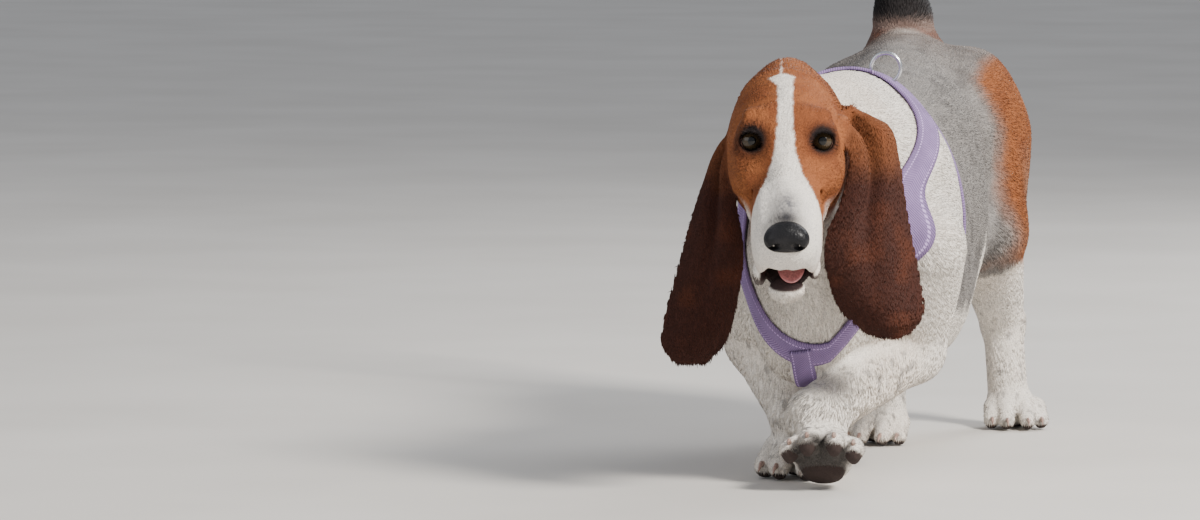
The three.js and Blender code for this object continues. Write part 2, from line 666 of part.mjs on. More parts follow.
// A strap all round, which bows forward by as much at either side
function loopStrap(centre, normal, bow = 0, steps = 36) {
  const across = vec(normal).normalize();
  const up = new THREE.Vector3(0, 0, 1).addScaledVector(across, -across.z).normalize();
  const right = new THREE.Vector3().crossVectors(across, up);
  const rows = [];
  for (let n = 0; n < steps; n += 1) {
    const angle = (2 * Math.PI * n) / steps;
    const direction = up.clone().multiplyScalar(Math.cos(angle)).addScaledVector(right, -Math.sin(angle));
    const from = vec(centre).addScaledVector(across, -bow * Math.abs(Math.sin(angle)) * (1 - 0.3 * Math.cos(angle)));
    rows.push(strapRow(from.toArray(), direction, across));
  }
  return strapSolid(rows, true);
}

// A strap from one point to another inside the body, whose rays turn from one direction to the other
function runStrap(from, to, firstRay, lastRay, steps) {
  const along = vec(to).sub(vec(from));
  const rows = [];
  for (let n = 0; n <= steps; n += 1) {
    const t = n / steps;
    const ray = vec(firstRay).lerp(vec(lastRay), t).normalize();
    const across = new THREE.Vector3().crossVectors(along, ray).normalize();
    rows.push(strapRow(vec(from).addScaledVector(along, t).toArray(), ray, across));
  }
  return strapSolid(rows, false);
}

// Materials
const finish = (color, roughness = 0.85, metalness = 0) => new THREE.MeshStandardMaterial({ color, roughness, metalness });
const MATERIALS = {
  white: finish(0xe9dfd3),
  tan: finish(0xb4714a),
  dark: finish(0x6d6a68),
  black: finish(0x2a2626),
  ear: finish(0x7c4530),
  nose: finish(0x232224, 0.45),
  eye: finish(0x3a281c, 0.12),
  tongue: finish(0xc27b7c, 0.5),
  webbing: finish(0x8a76a0, 0.75),
  metal: finish(0xb9bcc2, 0.3, 1),
};

// The whole body in one piece, cut flat where the feet stand
const bodyField = fieldOf([...TRUNK, ...NECK, ...TAIL], ...Object.values(LEGS));
const UP = [0, 0, 1];
const BODY_BOX = [[-160, -430, -20], [180, 400, 670]];
const bodySolid = largest(modelled(bodyField, ...BODY_BOX, BODY_STEP, BODY_TRIANGLES).trimByPlane(UP, 0));

// Where the body is parted: planes for neck and head, boxes and sleeves for tail, paws and legs
const HEAD_PLANE = [[-28, -298, 303], [0, -0.923, 0.385]];
const NECK_PLANE = [[-8, -215, 283], [0, -0.8, 0.6]];
const PAW_REGIONS = {
  fore_left: [frame([2, -338, 24], [-36, 0, 4]), [110, 90, 76]],
  fore_right: [frame([-28, -212, 4], [0, 0, -8]), [100, 90, 64]],
  hind_left: [frame([104, 278, 2], [0, 0, 12]), [90, 96, 60]],
  hind_right: [frame([0, 102, 2], [0, 0, -6]), [80, 96, 56]],
};
const LEG_SLEEVES = {
  fore_left: [[58, -172, 112], [-14, -296, 56], 44, 44],
  fore_right: [[-76, -166, 116], [-20, -216, 16], 48, 44],
  hind_left: [[93, 240, 160], [100, 296, 30], 58, 40],
  hind_right: [[-34, 154, 148], [2, 128, 14], 54, 46],
};
const wider = ([x, y, z]) => [x + 2 * GAP, y + 2 * GAP, z + 2 * GAP];

const nodes = {};
let rest = bodySolid;
function takeOff(name, region, grownRegion, material) {
  nodes[name] = [largest(rest.intersect(region)), material];
  rest = largest(rest.subtract(grownRegion));
}
const tailBox = frame([-6, 300, 560], [-6, -8, 0]);
takeOff("tail", boxSolid([140, 180, 330], tailBox), boxSolid(wider([140, 180, 330]), tailBox), MATERIALS.black);
for (const [name, [place, size]] of Object.entries(PAW_REGIONS)) {
  takeOff(`${name}_paw`, boxSolid(size, place), boxSolid(wider(size), place), MATERIALS.white);
}
for (const [name, bone] of Object.entries(LEG_SLEEVES)) {
  takeOff(`${name}_leg`, sleeve(...bone), sleeve(...bone, GAP), MATERIALS.white);
}
const [beforeTorso, torso] = parted(rest, ...NECK_PLANE);
const neck = parted(beforeTorso, ...HEAD_PLANE)[1];

// Head, with the jaw, tongue, nose and eyes let into it
const HEAD_BOX = [[-110, -520, 120], [80, -220, 440]];
const headField = fieldOf([...NECK, ...SKULL, ...MOUTH]);
const [headWhole] = parted(modelled(headField, ...HEAD_BOX, HEAD_STEP, HEAD_TRIANGLES), ...HEAD_PLANE);
const MOUTH_BOX = [[-60, -520, 120], [60, -330, 300]];
const jawWhole = modelled(fieldOf(JAW), ...MOUTH_BOX, 2.5, 360);
const tongueWhole = modelled(fieldOf(TONGUE), ...MOUTH_BOX, 2.5, 160);
const nose = modelled(fieldOf(NOSE), ...MOUTH_BOX, 1.6, 480);
const eyes = bothSides((s) => HEAD.at(s * EYE_SPREAD, 10, -9));
const lidBalls = eyes.map((at) => ballSolid(at, EYE_RADIUS + LID.thickness, 20));
const openings = bothSides(lidOpening);
const lowerJaw = largest(jawWhole.subtract(grown(neck, GAP)));
const tongue = largest(tongueWhole.subtract(grown(lowerJaw, GAP)));
const sockets = eyes.map((at) => ballSolid(at, EYE_RADIUS + GAP, 18));
let head = joined([headWhole, ...lidBalls]);
head = without(head, [...openings, ...sockets, grown(nose, GAP), grown(lowerJaw, GAP), grown(tongue, GAP)]);
head = largest(head);

nodes.torso = [torso, MATERIALS.dark];
nodes.neck = [neck, MATERIALS.white];
nodes.head = [head, MATERIALS.tan];
nodes.lower_jaw = [lowerJaw, MATERIALS.white];
nodes.tongue = [tongue, MATERIALS.tongue];
nodes.nose = [nose, MATERIALS.nose];
eyes.forEach((at, n) => (nodes[`eye_${Object.keys(sides)[n]}`] = [ballSolid(at, EYE_RADIUS), MATERIALS.eye]));
const skins = [head, neck, torso, lowerJaw].map((solid) => grown(solid, GAP));
for (const [side, s] of Object.entries(sides)) {
  nodes[`ear_${side}`] = [largest(without(earSolid(EARS[side], s), skins)), MATERIALS.ear];
}

// Harness
const legSkins = Object.keys(LEGS).map((name) => grown(nodes[`${name}_leg`][0], GAP));
const onSkin = (blank, others = []) => largest(without(blank, [...skins, ...legSkins, ...others]));
const neckStrap = onSkin(loopStrap([0, -200, 262], [-0.033, 0.852, -0.523], STRAP_BOW));
const girth = onSkin(loopStrap([0, -100, 230], [0, 0.998, -0.06]));
const loops = [neckStrap, girth].map((strap) => grown(strap, GAP));
const sternum = onSkin(runStrap([-22, -215, 190], [-14, -98, 190], [0, -0.8, -0.6], [0, 0, -1], 12), loops);
const backStrap = onSkin(runStrap([32, -150, 290], [32, -84, 290], UP, UP, 5), loops);
const ringAt = [32, RING.along, 290];
const ringCentre = vec(ringAt).add(new THREE.Vector3(0, 0, onBody(ringAt, new THREE.Vector3(0, 0, 1)) + RING.rise));
const ringPlace = new THREE.Matrix4().makeRotationX(Math.PI / 2).setPosition(ringCentre);
const ringWhole = solidFrom(new THREE.TorusGeometry(RING.radius, RING.wire, 6, 18), ringPlace);
const ring = onSkin(ringWhole, [grown(backStrap, GAP)]);
nodes.harness_back_strap = [backStrap, MATERIALS.webbing];
nodes.harness_ring = [ring, MATERIALS.metal];
nodes.harness_neck_strap = [neckStrap, MATERIALS.webbing];
nodes.harness_girth_strap = [girth, MATERIALS.webbing];
nodes.harness_sternum_strap = [sternum, MATERIALS.webbing];

const group = new THREE.Group();
for (const [name, [solid, material]] of Object.entries(nodes)) {
  const { vertProperties, triVerts } = solid.getMesh();
  const geometry = new THREE.BufferGeometry();
  geometry.setAttribute("position", new THREE.BufferAttribute(Float32Array.from(vertProperties), 3));
  geometry.setIndex(Array.from(triVerts));
  const mesh = new THREE.Mesh(geometry, material);
  mesh.name = name;
  group.add(mesh);
}

// The origin is the middle of the whole model's footprint, on the floor
const whole = new THREE.Box3().setFromObject(group);
const centre = whole.getCenter(new THREE.Vector3());
group.position.set(-centre.x, -centre.y, -whole.min.z);

export default group;
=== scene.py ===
# A basset hound in mid-stride, life-size and still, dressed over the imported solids.
# The animal is worked out in millimetres in its own space, where +X is its left side, -Y is ahead of
# it and its feet stand on z = 0, and is moved to the row's frame, in metres, when a mesh is made.
import math
from functools import partial

import bpy
import numpy as np
import openvdb
from mathutils import Matrix, Vector
from mathutils.bvhtree import BVHTree
from mathutils.kdtree import KDTree


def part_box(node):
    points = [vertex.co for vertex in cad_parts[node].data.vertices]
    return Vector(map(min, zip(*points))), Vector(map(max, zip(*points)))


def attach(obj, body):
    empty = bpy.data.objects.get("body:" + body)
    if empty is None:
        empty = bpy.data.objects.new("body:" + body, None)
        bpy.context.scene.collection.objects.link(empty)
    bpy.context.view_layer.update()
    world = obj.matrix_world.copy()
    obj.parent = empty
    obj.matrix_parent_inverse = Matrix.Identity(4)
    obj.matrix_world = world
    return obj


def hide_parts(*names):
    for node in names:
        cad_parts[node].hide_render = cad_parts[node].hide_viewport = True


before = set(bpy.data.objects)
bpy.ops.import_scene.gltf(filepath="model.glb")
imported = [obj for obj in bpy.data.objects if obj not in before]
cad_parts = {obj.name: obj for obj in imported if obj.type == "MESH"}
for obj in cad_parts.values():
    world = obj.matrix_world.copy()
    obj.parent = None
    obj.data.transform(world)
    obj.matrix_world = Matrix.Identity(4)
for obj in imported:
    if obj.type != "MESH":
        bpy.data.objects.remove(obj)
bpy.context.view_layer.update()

# Driving dimensions
TRUNK_HALF_WIDTH = 102
EYE_RADIUS = 11.5
EYE_SPREAD = 32
EYE_AT = (10, -9)
HEAD_AT = [-21, -391, 328]
HEAD_PITCH = 29
HEAD_YAW = 8.5
COAT_DEPTH = 1.6
EAR_HALF_THICKNESS = 1.7
STRAP_WIDTH = 20
FINE_STEP = 1.45
COARSE_STEP = 3.0
TUFTS = 310000
TUFTS_A_PIECE = 48000
SEED = 11
MM = 0.001
SIDES = {"left": 1, "right": -1}


# Frames and round shapes, with a signed distance each
def place(origin, turn=(0, 0, 0)):
    pitch, roll, yaw = (math.radians(a) for a in turn)
    spin = Matrix.Rotation(yaw, 4, "Z") @ Matrix.Rotation(pitch, 4, "X") @ Matrix.Rotation(roll, 4, "Y")
    return np.array(Matrix.Translation(origin) @ spin)


WORLD = place([0, 0, 0])
HEAD = place(HEAD_AT, [HEAD_PITCH, 0, HEAD_YAW])


def at(matrix, point):
    return (matrix @ [*point, 1])[:3]


class Shape:
    def __init__(self, distance, low, high, blend, cut):
        self.distance, self.low, self.high, self.blend, self.cut = distance, low, high, blend, cut


def ball(centre, radii, turn=(0, 0, 0), blend=25, cut=False, within=WORLD):
    own = within @ place(centre, turn)
    m = np.linalg.inv(own)
    scaled = m[:3] / np.array(radii)[:, None]
    inner = scaled / np.array(radii)[:, None]

    def distance(x, y, z):
        k0 = np.sqrt(sum((r[0] * x + r[1] * y + r[2] * z + r[3]) ** 2 for r in scaled))
        k1 = np.sqrt(sum((r[0] * x + r[1] * y + r[2] * z + r[3]) ** 2 for r in inner))
        return k0 * (k0 - 1) / np.maximum(k1, 1e-6)

    half = np.sqrt(((own[:3, :3] * np.array(radii)) ** 2).sum(1))
    return Shape(distance, own[:3, 3] - half, own[:3, 3] + half, blend, cut)


def limb(start, end, r0, r1, blend=25, cut=False, within=WORLD):
    a, b = at(within, start), at(within, end)
    d = b - a
    length2 = d @ d

    def distance(x, y, z):
        px, py, pz = x - a[0], y - a[1], z - a[2]
        t = np.clip((px * d[0] + py * d[1] + pz * d[2]) / length2, 0, 1)
        away = np.sqrt((px - t * d[0]) ** 2 + (py - t * d[1]) ** 2 + (pz - t * d[2]) ** 2)
        return away - (r0 + (r1 - r0) * t)

    reach = max(r0, r1)
    return Shape(distance, np.minimum(a, b) - reach, np.maximum(a, b) + reach, blend, cut)


head_ball, head_limb = partial(ball, within=HEAD), partial(limb, within=HEAD)


def joined(field, distance, shape):
    if shape.cut:
        return -soft_min(-field, distance, shape.blend)
    return soft_min(field, distance, shape.blend)


def both(make):
    made = []
    for side in (1, -1):
        one = make(side)
        made += one if isinstance(one, list) else [one]
    return made


def normalized(v):
    return v / np.linalg.norm(v, axis=-1, keepdims=True)


def in_head(p):
    return (np.linalg.inv(HEAD) @ np.vstack([p.T, np.ones(len(p))]))[:3]


def soft_min(a, b, k):
    h = np.maximum(k - np.abs(a - b), 0) / k
    return np.minimum(a, b) - h * h * k * 0.25


# Trunk from the chest back to the rump, then neck and tail
TRUNK = [
    ball([0, -100, 228], [TRUNK_HALF_WIDTH, 170, 136], blend=40),
    ball([-14, -205, 200], [82, 82, 98], blend=40),
    ball([8, 70, 222], [98, 165, 130], blend=40),
    ball([6, 130, 300], [84, 150, 72], blend=40),
    ball([16, 235, 300], [92, 92, 88], turn=[0, -5, 0], blend=35),
    limb([-4, -190, 318], [4, -90, 326], 44, 40, blend=30),
    limb([5, 150, 345], [-4, 290, 350], 38, 40, blend=30),
    ball([52, -10, 150], [44, 100, 58], blend=30),
    limb([-28, -245, 135], [-10, -80, 128], 36, 36, blend=30),
    ball([-28, -262, 140], [34, 28, 45], blend=25),
    ball([68, -165, 235], [42, 62, 92], blend=25),
    ball([-72, -165, 232], [44, 62, 92], blend=25),
    ball([-22, -270, 200], [50, 50, 70], blend=30),
]
NECK = [
    limb([0, -175, 285], [-30, -285, 312], 86, 58, blend=30),
    limb([2, -150, 326], [-33, -268, 339], 42, 32, blend=24),
    limb([-20, -240, 215], [-22, -326, 238], 56, 36, blend=26),
]
TAIL = [
    limb([-5, 288, 372], [-8, 304, 405], 33, 28, blend=30),
    limb([-8, 304, 405], [-16, 314, 460], 28, 21, blend=10),
    limb([-16, 314, 460], [-24, 312, 520], 21, 16, blend=8),
    limb([-24, 312, 520], [-28, 296, 585], 16, 11, blend=8),
    limb([-28, 296, 585], [-27, 268, 645], 11, 5, blend=8),
]

TOES = (-31, -13, 13, 31)


def sized(size, x, y, z):
    return [x * size, y * size, z * size]


# A paw on its own frame: pad down, toes towards -Y, inner toes first
def paw(within, size):
    shapes = [ball(sized(size, 0, -10, 24), sized(size, 30, 34, 22), within=within, blend=14)]
    toes = [[[12, -28, 30], [13, -57, 12]], [[27, -18, 27], [31, -43, 11]]]
    for side in (1, -1):
        for (kx, ky, kz), (tx, ty, tz) in toes:
            knuckle, tip = sized(size, kx * side, ky, kz), sized(size, tx * side, ty, tz)
            shapes.append(limb(knuckle, tip, 13.5 * size, 11.5 * size, within=within, blend=5))
    return shapes


def pads(within, size):
    toes = [
        ball(sized(size, x, -40 if abs(x) > 20 else -54, 5), sized(size, 8, 11, 7), within=within, blend=2)
        for x in TOES
    ]
    return [ball(sized(size, 0, -8, 5), sized(size, 22, 17, 8), within=within, blend=3), *toes]


FEET = {
    "fore_left": (place([3, -318, 6], [-36, 0, 4]), 0.95),
    "fore_right": (place([-28, -196, 0], [0, 0, -8]), 1),
    "hind_left": (place([106, 292, 0], [0, 0, 12]), 0.8),
    "hind_right": (place([-2, 118, 0], [0, 0, -6]), 0.8),
}
LEGS = {
    "fore_left": [
        limb([78, -215, 215], [62, -165, 118], 44, 33, blend=28),
        limb([62, -165, 118], [-8, -284, 66], 33, 26, blend=12),
        ball([66, -146, 112], [24, 24, 26], blend=14),
        ball([-8, -286, 62], [29, 27, 28], blend=10),
        limb([-8, -286, 60], [0, -308, 34], 26, 24, blend=8),
    ],
    "fore_right": [
        limb([-84, -215, 205], [-80, -160, 125], 44, 34, blend=28),
        limb([-80, -160, 125], [-34, -208, 52], 34, 27, blend=12),
        ball([-84, -142, 120], [24, 24, 26], blend=14),
        ball([-34, -209, 52], [28, 27, 28], blend=10),
        limb([-34, -209, 52], [-29, -200, 24], 26, 26, blend=8),
    ],
    "hind_left": [
        ball([74, 215, 290], [52, 80, 92], blend=26),
        limb([72, 220, 290], [90, 178, 205], 56, 42, blend=20),
        limb([90, 178, 205], [95, 286, 106], 40, 23, blend=16),
        ball([97, 300, 110], [17, 20, 22], blend=12),
        limb([96, 286, 104], [102, 284, 25], 21, 21, blend=10),
    ],
    "hind_right": [
        ball([-52, 200, 275], [55, 80, 90], blend=30),
        limb([-55, 215, 285], [-60, 122, 192], 60, 46, blend=20),
        limb([-60, 122, 192], [-12, 186, 98], 44, 24, blend=16),
        ball([-10, 200, 100], [17, 20, 22], blend=12),
        limb([-10, 186, 96], [1, 112, 26], 22, 22, blend=10),
    ],
}
for leg, (foot_place, foot_size) in FEET.items():
    LEGS[leg] += [*paw(foot_place, foot_size), *pads(foot_place, foot_size)]
SKULL = [
    head_ball([0, 60, -20], [50, 72, 44], blend=20),
    head_ball([0, 25, -16], [42, 46, 34], blend=20),
    head_ball([0, 115, -9], [20, 23, 17], blend=18),
    head_ball([0, 22, -72], [42, 62, 32], blend=25),
    head_limb([0, 0, -32], [0, -92, -47], 31, 27, blend=18),
    head_limb([0, -5, -14], [0, -95, -30], 12, 10, blend=10),
    head_ball([0, -98, -58], [24, 18, 20], blend=12),
    *both(lambda s: [
        head_ball([s * 38, 30, -42], [18, 50, 34], blend=18),
        head_ball([s * 27, 8, 4], [19, 14, 10], blend=12),
        head_ball([s * 30, -8, -34], [18, 26, 18], blend=14),
        head_ball([s * 21, -58, -64], [13, 45, 40], blend=12),
    ]),
]
MOUTH = [
    head_ball([0, -78, -99], [23, 58, 27], blend=4, cut=True),
]
JAW = [
    head_limb([0, 0, -108], [0, -82, -110], 19, 13, blend=10),
    head_ball([0, -88, -107], [18, 12, 13], blend=8),
]
TONGUE = [head_ball([4, -66, -94], [13, 30, 5], blend=5)]
NOSE = [
    head_ball([0, -108, -37], [19, 14, 15], blend=6),
    *both(lambda s: head_ball([s * 11, -113, -37], [9, 9, 9], blend=6)),
    *both(lambda s: head_limb([s * 7, -124, -38], [s * 13, -117, -41], 3.2, 3.2, blend=2, cut=True)),
    head_limb([0, -124, -42], [0, -121, -54], 1, 1, blend=2, cut=True),
]


TONGUE_GROOVE = [head_limb([3, -40, -77], [3, -98, -77], 0.8, 0.8, blend=2, cut=True)]

# Ears: the edge nearest the face and the edge nearest the neck, with a pleat that folds in between
EARS = {
    "left": (
        [
            [23, -358, 330], [34, -363, 309], [27, -369, 270], [15, -376, 240],
            [13, -372, 212], [22, -351, 172], [44, -334, 147],
        ],
        [
            [22, -300, 345], [60, -310, 335], [72, -315, 300], [80, -317, 250],
            [90, -317, 200], [95, -320, 166], [84, -322, 147],
        ],
    ),
    "right": (
        [
            [-62, -358, 330], [-76, -367, 302], [-71, -371, 262], [-65, -374, 228],
            [-68, -372, 192], [-80, -367, 144], [-98, -362, 121],
        ],
        [
            [-60, -308, 335], [-90, -330, 312], [-106, -342, 280], [-123, -352, 221],
            [-141, -360, 145], [-132, -361, 122],
        ],
    ),
}
EAR_BOW = 16
EAR_PLEAT = 18


def curve_through(points, t):
    """A smooth curve through a few points, by the length of the straight runs between them"""
    p = np.array(points, float)
    p = np.vstack([2 * p[0] - p[1], p, 2 * p[-1] - p[-2]])
    runs = np.cumsum([0, *np.linalg.norm(np.diff(p[1:-1], axis=0), axis=1)])
    s = np.interp(t, runs / runs[-1], np.arange(len(runs)))
    n = np.minimum(s.astype(int), len(runs) - 2)
    f = (s - n)[:, None]
    a, b, c, d = p[n], p[n + 1], p[n + 2], p[n + 3]
    return 0.5 * (2 * b + (c - a) * f + (2 * a - 5 * b + 4 * c - d) * f**2 + (3 * b - a - 3 * c + d) * f**3)


def ear_sheet(edges, side, down=170, across=76):
    t = np.linspace(0, 1, down)
    s = np.linspace(0, 1, across)[None, :, None]
    near, far = (curve_through(e, t)[:, None, :] for e in edges)
    run = far - near
    fall = np.gradient(near + far, axis=0)
    out = -side * np.cross(np.broadcast_to(run, fall.shape), fall)
    out = normalized(out)
    narrow = np.minimum(1, np.linalg.norm(run, axis=2, keepdims=True) / 60)
    fade = np.clip(1.1 - t[:, None, None] * 1.3, 0, 1)
    wave = EAR_BOW * np.sin(np.pi * s) - EAR_PLEAT * fade * np.exp(-(((s - 0.42) / 0.13) ** 2))
    points = near + run * s + out * wave * narrow
    flat = points.reshape(-1, 3)
    along = np.gradient(points, axis=0)
    wide = np.gradient(points, axis=1)
    normals = normalized(-side * np.cross(wide, along).reshape(-1, 3))
    return flat, normals, np.repeat(t, across), np.tile(s.ravel(), down)


# Noise that is the same on every run
LATTICE = np.random.default_rng(SEED).random((32, 32, 32)).astype(np.float32)


def noise(points, size):
    q = points / size + 1000.0
    n = np.floor(q).astype(int)
    f = q - n
    f = f * f * (3 - 2 * f)
    total = 0
    for corner in range(8):
        c = [(corner >> a) & 1 for a in range(3)]
        w = np.prod([f[:, a] if c[a] else 1 - f[:, a] for a in range(3)], axis=0)
        total = total + w * LATTICE[(n[:, 0] + c[0]) % 32, (n[:, 1] + c[1]) % 32, (n[:, 2] + c[2]) % 32]
    return total


def step(value, low, high):
    t = np.clip((value - low) / (high - low), 0, 1)
    return t * t * (3 - 2 * t)


# The skin's field on a grid that is finer about the head
def spaced(low, high, fine_low, fine_high):
    values = [low]
    while values[-1] < high:
        v = values[-1]
        outside = max(fine_low - v, v - fine_high, 0)
        values.append(v + FINE_STEP + (COARSE_STEP - FINE_STEP) * min(1, outside / 50))
    return np.array(values, np.float32)


AXES = [spaced(-160, 160, -85, 60), spaced(-505, 350, -500, -330), spaced(-4, 665, 195, 370)]
MARGIN = 14


def window(low, high, blend):
    spans = []
    for axis, l, h in zip(AXES, low, high):
        first = np.searchsorted(axis, l - blend - MARGIN)
        spans.append(slice(max(first, 0), np.searchsorted(axis, h + blend + MARGIN)))
    return tuple(spans)


def grid_in(spans):
    x, y, z = (axis[s] for axis, s in zip(AXES, spans))
    return x[:, None, None], y[None, :, None], z[None, None, :]


def put(field, shapes, origin=(0, 0, 0)):
    for s in shapes:
        w = window(s.low, s.high, s.blend)
        inner = tuple(
            slice(max(a.start - o, 0), min(a.stop - o, n)) for a, o, n in zip(w, origin, field.shape)
        )
        if any(a.stop <= a.start for a in inner):
            continue
        spans = tuple(slice(a.start + o, a.stop + o) for a, o in zip(inner, origin))
        e = s.distance(*grid_in(spans)).astype(np.float32)
        field[inner] = joined(field[inner], e, s)


def skin_field():
    field = np.full([len(a) for a in AXES], 1000, np.float32)
    put(field, [*TRUNK, *NECK, *TAIL])
    trunk = field.copy()
    for shapes in LEGS.values():
        low = np.min([s.low for s in shapes], axis=0)
        high = np.max([s.high for s in shapes], axis=0)
        w = window(low, high, 10)
        own = trunk[w].copy()
        put(own, shapes, tuple(a.start for a in w))
        field[w] = np.minimum(field[w], own)
    put(field, [*SKULL, *FOLDS, *LIDS])
    put(field, MOUTH)
    put(field, LIPS)
    jaw = np.full_like(field, 1000)
    put(jaw, JAW)
    field = soft_min(field, jaw, 2)
    put(field, [*LID_CUTS, *SOCKETS])
    field += COAT_DEPTH
    for name, side in SIDES.items():
        add_ear(field, *ear_sheet(EARS[name], side))
    field = np.maximum(field, (1.0 - AXES[2])[None, None, :])
    return field


def add_ear(field, points, normals, t, s):
    reach = 6.5
    low, high = points.min(0), points.max(0)
    w = window(low, high, 0)
    x, y, z = (a.astype(np.float32) for a in grid_in(w))
    best = np.full(field[w].shape, 1e6, np.float32)
    nearest = np.full(best.shape, -1, np.int32)
    lows = [np.searchsorted(g.ravel(), points[:, a] - reach) for a, g in enumerate((x, y, z))]
    highs = [np.searchsorted(g.ravel(), points[:, a] + reach) for a, g in enumerate((x, y, z))]
    for n, (px, py, pz) in enumerate(points):
        b = tuple(slice(lows[a][n], highs[a][n]) for a in range(3))
        r2 = (x[b[0]] - px) ** 2 + (y[:, b[1]] - py) ** 2 + (z[:, :, b[2]] - pz) ** 2
        part = best[b]
        closer = r2 < part
        part[closer] = r2[closer]
        nearest[b][closer] = n
    i, j, k = np.nonzero(nearest >= 0)
    n = nearest[i, j, k]
    offset = np.stack([x.ravel()[i], y.ravel()[j], z.ravel()[k]], 1) - points[n]
    height = (offset * normals[n]).sum(1)
    aside = np.sqrt(np.maximum((offset**2).sum(1) - height**2, 0))
    rim = EAR_HALF_THICKNESS * (1 - 0.5 * np.abs(2 * s[n] - 1) ** 6)
    distance = np.sqrt(height**2 + np.maximum(aside - 1.2, 0) ** 2) - rim
    blend = 1.0 + 14 * np.clip(1 - t[n] / 0.12, 0, 1)
    block = field[w]
    block[i, j, k] = soft_min(block[i, j, k], distance.astype(np.float32), blend)


def meshed(field, axes, smoothing=2):
    grid = openvdb.FloatGrid(background=6.0)
    grid.copyFromArray(np.clip(field, -6, 6))
    points, quads = grid.convertToQuads(0.0)
    points = np.stack([np.interp(points[:, a], np.arange(len(axes[a])), axes[a]) for a in range(3)], 1)
    a = np.concatenate([quads[:, i] for i in range(4)])
    b = np.concatenate([quads[:, (i + 1) % 4] for i in range(4)])
    count = np.bincount(a, minlength=len(points))[:, None]
    for _ in range(smoothing):
        total = np.stack([np.bincount(a, points[b, i], len(points)) for i in range(3)], 1)
        points = points * 0.5 + 0.5 * total / np.maximum(count, 1)
    return points, quads


# The head's own folds, lids and sockets
EYES = {side: at(HEAD, [s * EYE_SPREAD, *EYE_AT]) for side, s in SIDES.items()}
LID_RADIUS = EYE_RADIUS + 3.4
GAZE = np.array([0.173, -0.982, 0.077])


def eye_frame(side):
    return HEAD @ place([side * EYE_SPREAD, *EYE_AT], [-32, 0, side * 3])


MOUTH_FLOOR = [head_ball([0, -46, -106], [25, 36, 15], blend=4)]
LIPS = [
    *MOUTH_FLOOR,
    head_ball([-25, -72, -101], [8, 14, 10], blend=6),
    head_limb([-22, -94, -103], [-35, -74, -103], 1.4, 1.4, blend=4, cut=True),
    head_ball([25, -66, -99], [7, 14, 9], blend=6),
]
FOLDS = [
    *both(lambda s: head_limb([s * 14, 20, 13], [s * 34, 20, 13], 6, 6, blend=10)),
    *both(lambda s: head_limb([s * 20, -8, -24], [s * 42, 0, -32], 4, 5, blend=7)),
    *both(lambda s: head_limb([s * 40, 4, -40], [s * 30, -32, -60], 6, 6, blend=10)),
    *both(lambda s: head_limb([s * 21, -20, -22], [s * 30, -40, -40], 1.2, 1.2, blend=5, cut=True)),
    *both(lambda s: head_limb([s * 34, -16, -34], [s * 42, -6, -60], 1.2, 1.2, blend=5, cut=True)),
    *both(lambda s: head_limb([s * 8, 40, 26], [s * 26, 58, 24], 1.0, 1.0, blend=5, cut=True)),
    head_limb([0, -96, -58], [0, -113, -72], 1.2, 1.2, blend=3, cut=True),
]
LIDS = both(lambda s: ball([0, 0, 0], [LID_RADIUS] * 3, within=eye_frame(s), blend=7))
LID_CUTS = both(lambda s: [
    ball([0, -13, -0.8], [10.9, 10.5, 7.6], [0, s * 12, 0], within=eye_frame(s), blend=1.5, cut=True),
    ball([-s * 8, -12.5, -3], [4, 7, 3], within=eye_frame(s), blend=2, cut=True),
])
SOCKETS = both(lambda s: ball([0, 0, 0], [EYE_RADIUS - 1.9] * 3, within=eye_frame(s), blend=0.8, cut=True))

EYE_CENTRE_ROW = np.mean(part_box("eye_left"), axis=0)
SHIFT = EYE_CENTRE_ROW - EYES["left"] * MM


def to_row(points):
    return points * MM + SHIFT


# Colours, as seen
def colour(r, g, b):
    c = np.array([r, g, b]) / 255
    return np.where(c < 0.04, c / 12.92, ((c + 0.055) / 1.055) ** 2.4)


WHITE = colour(236, 229, 220)
CREAM = colour(222, 205, 188)
TAN = colour(150, 90, 52)
RUST = colour(116, 60, 33)
# EAR_DARK is partly the ears' own dark brown, partly painted shade on the flaps
EAR_DARK = colour(62, 31, 22)
# GREY paints the black saddle lighter, a painted sheen of sun on black hair; the legs' ticking uses it as
# its own grey
GREY = colour(122, 118, 116)
SOOT = colour(38, 34, 34)
LIP = colour(46, 32, 32)
MOUTH_PINK = colour(120, 62, 62)
PAD = colour(58, 47, 44)


def nearness(shapes, p):
    return np.min([s.distance(p[:, 0], p[:, 1], p[:, 2]) for s in shapes], axis=0)


EAR_ROOTS = [np.array([34, -318, 262]), np.array([-84, -318, 262])]
BLAZE = ([-130, -85, -66, -45, -25, 0, 55, 70, 76], [80, 46, 31, 19, 11, 6.5, 6.2, 12, 0])
LIP_FOLD = [head_ball([-25, -72, -104], [8, 15, 7]), head_ball([25, -66, -102], [6, 13, 5])]
SOLES = [(at(FEET["fore_left"][0], [0, -32, -16]), 46)]
PAD_SHAPES = [s for foot, size in FEET.values() for s in pads(foot, size)]


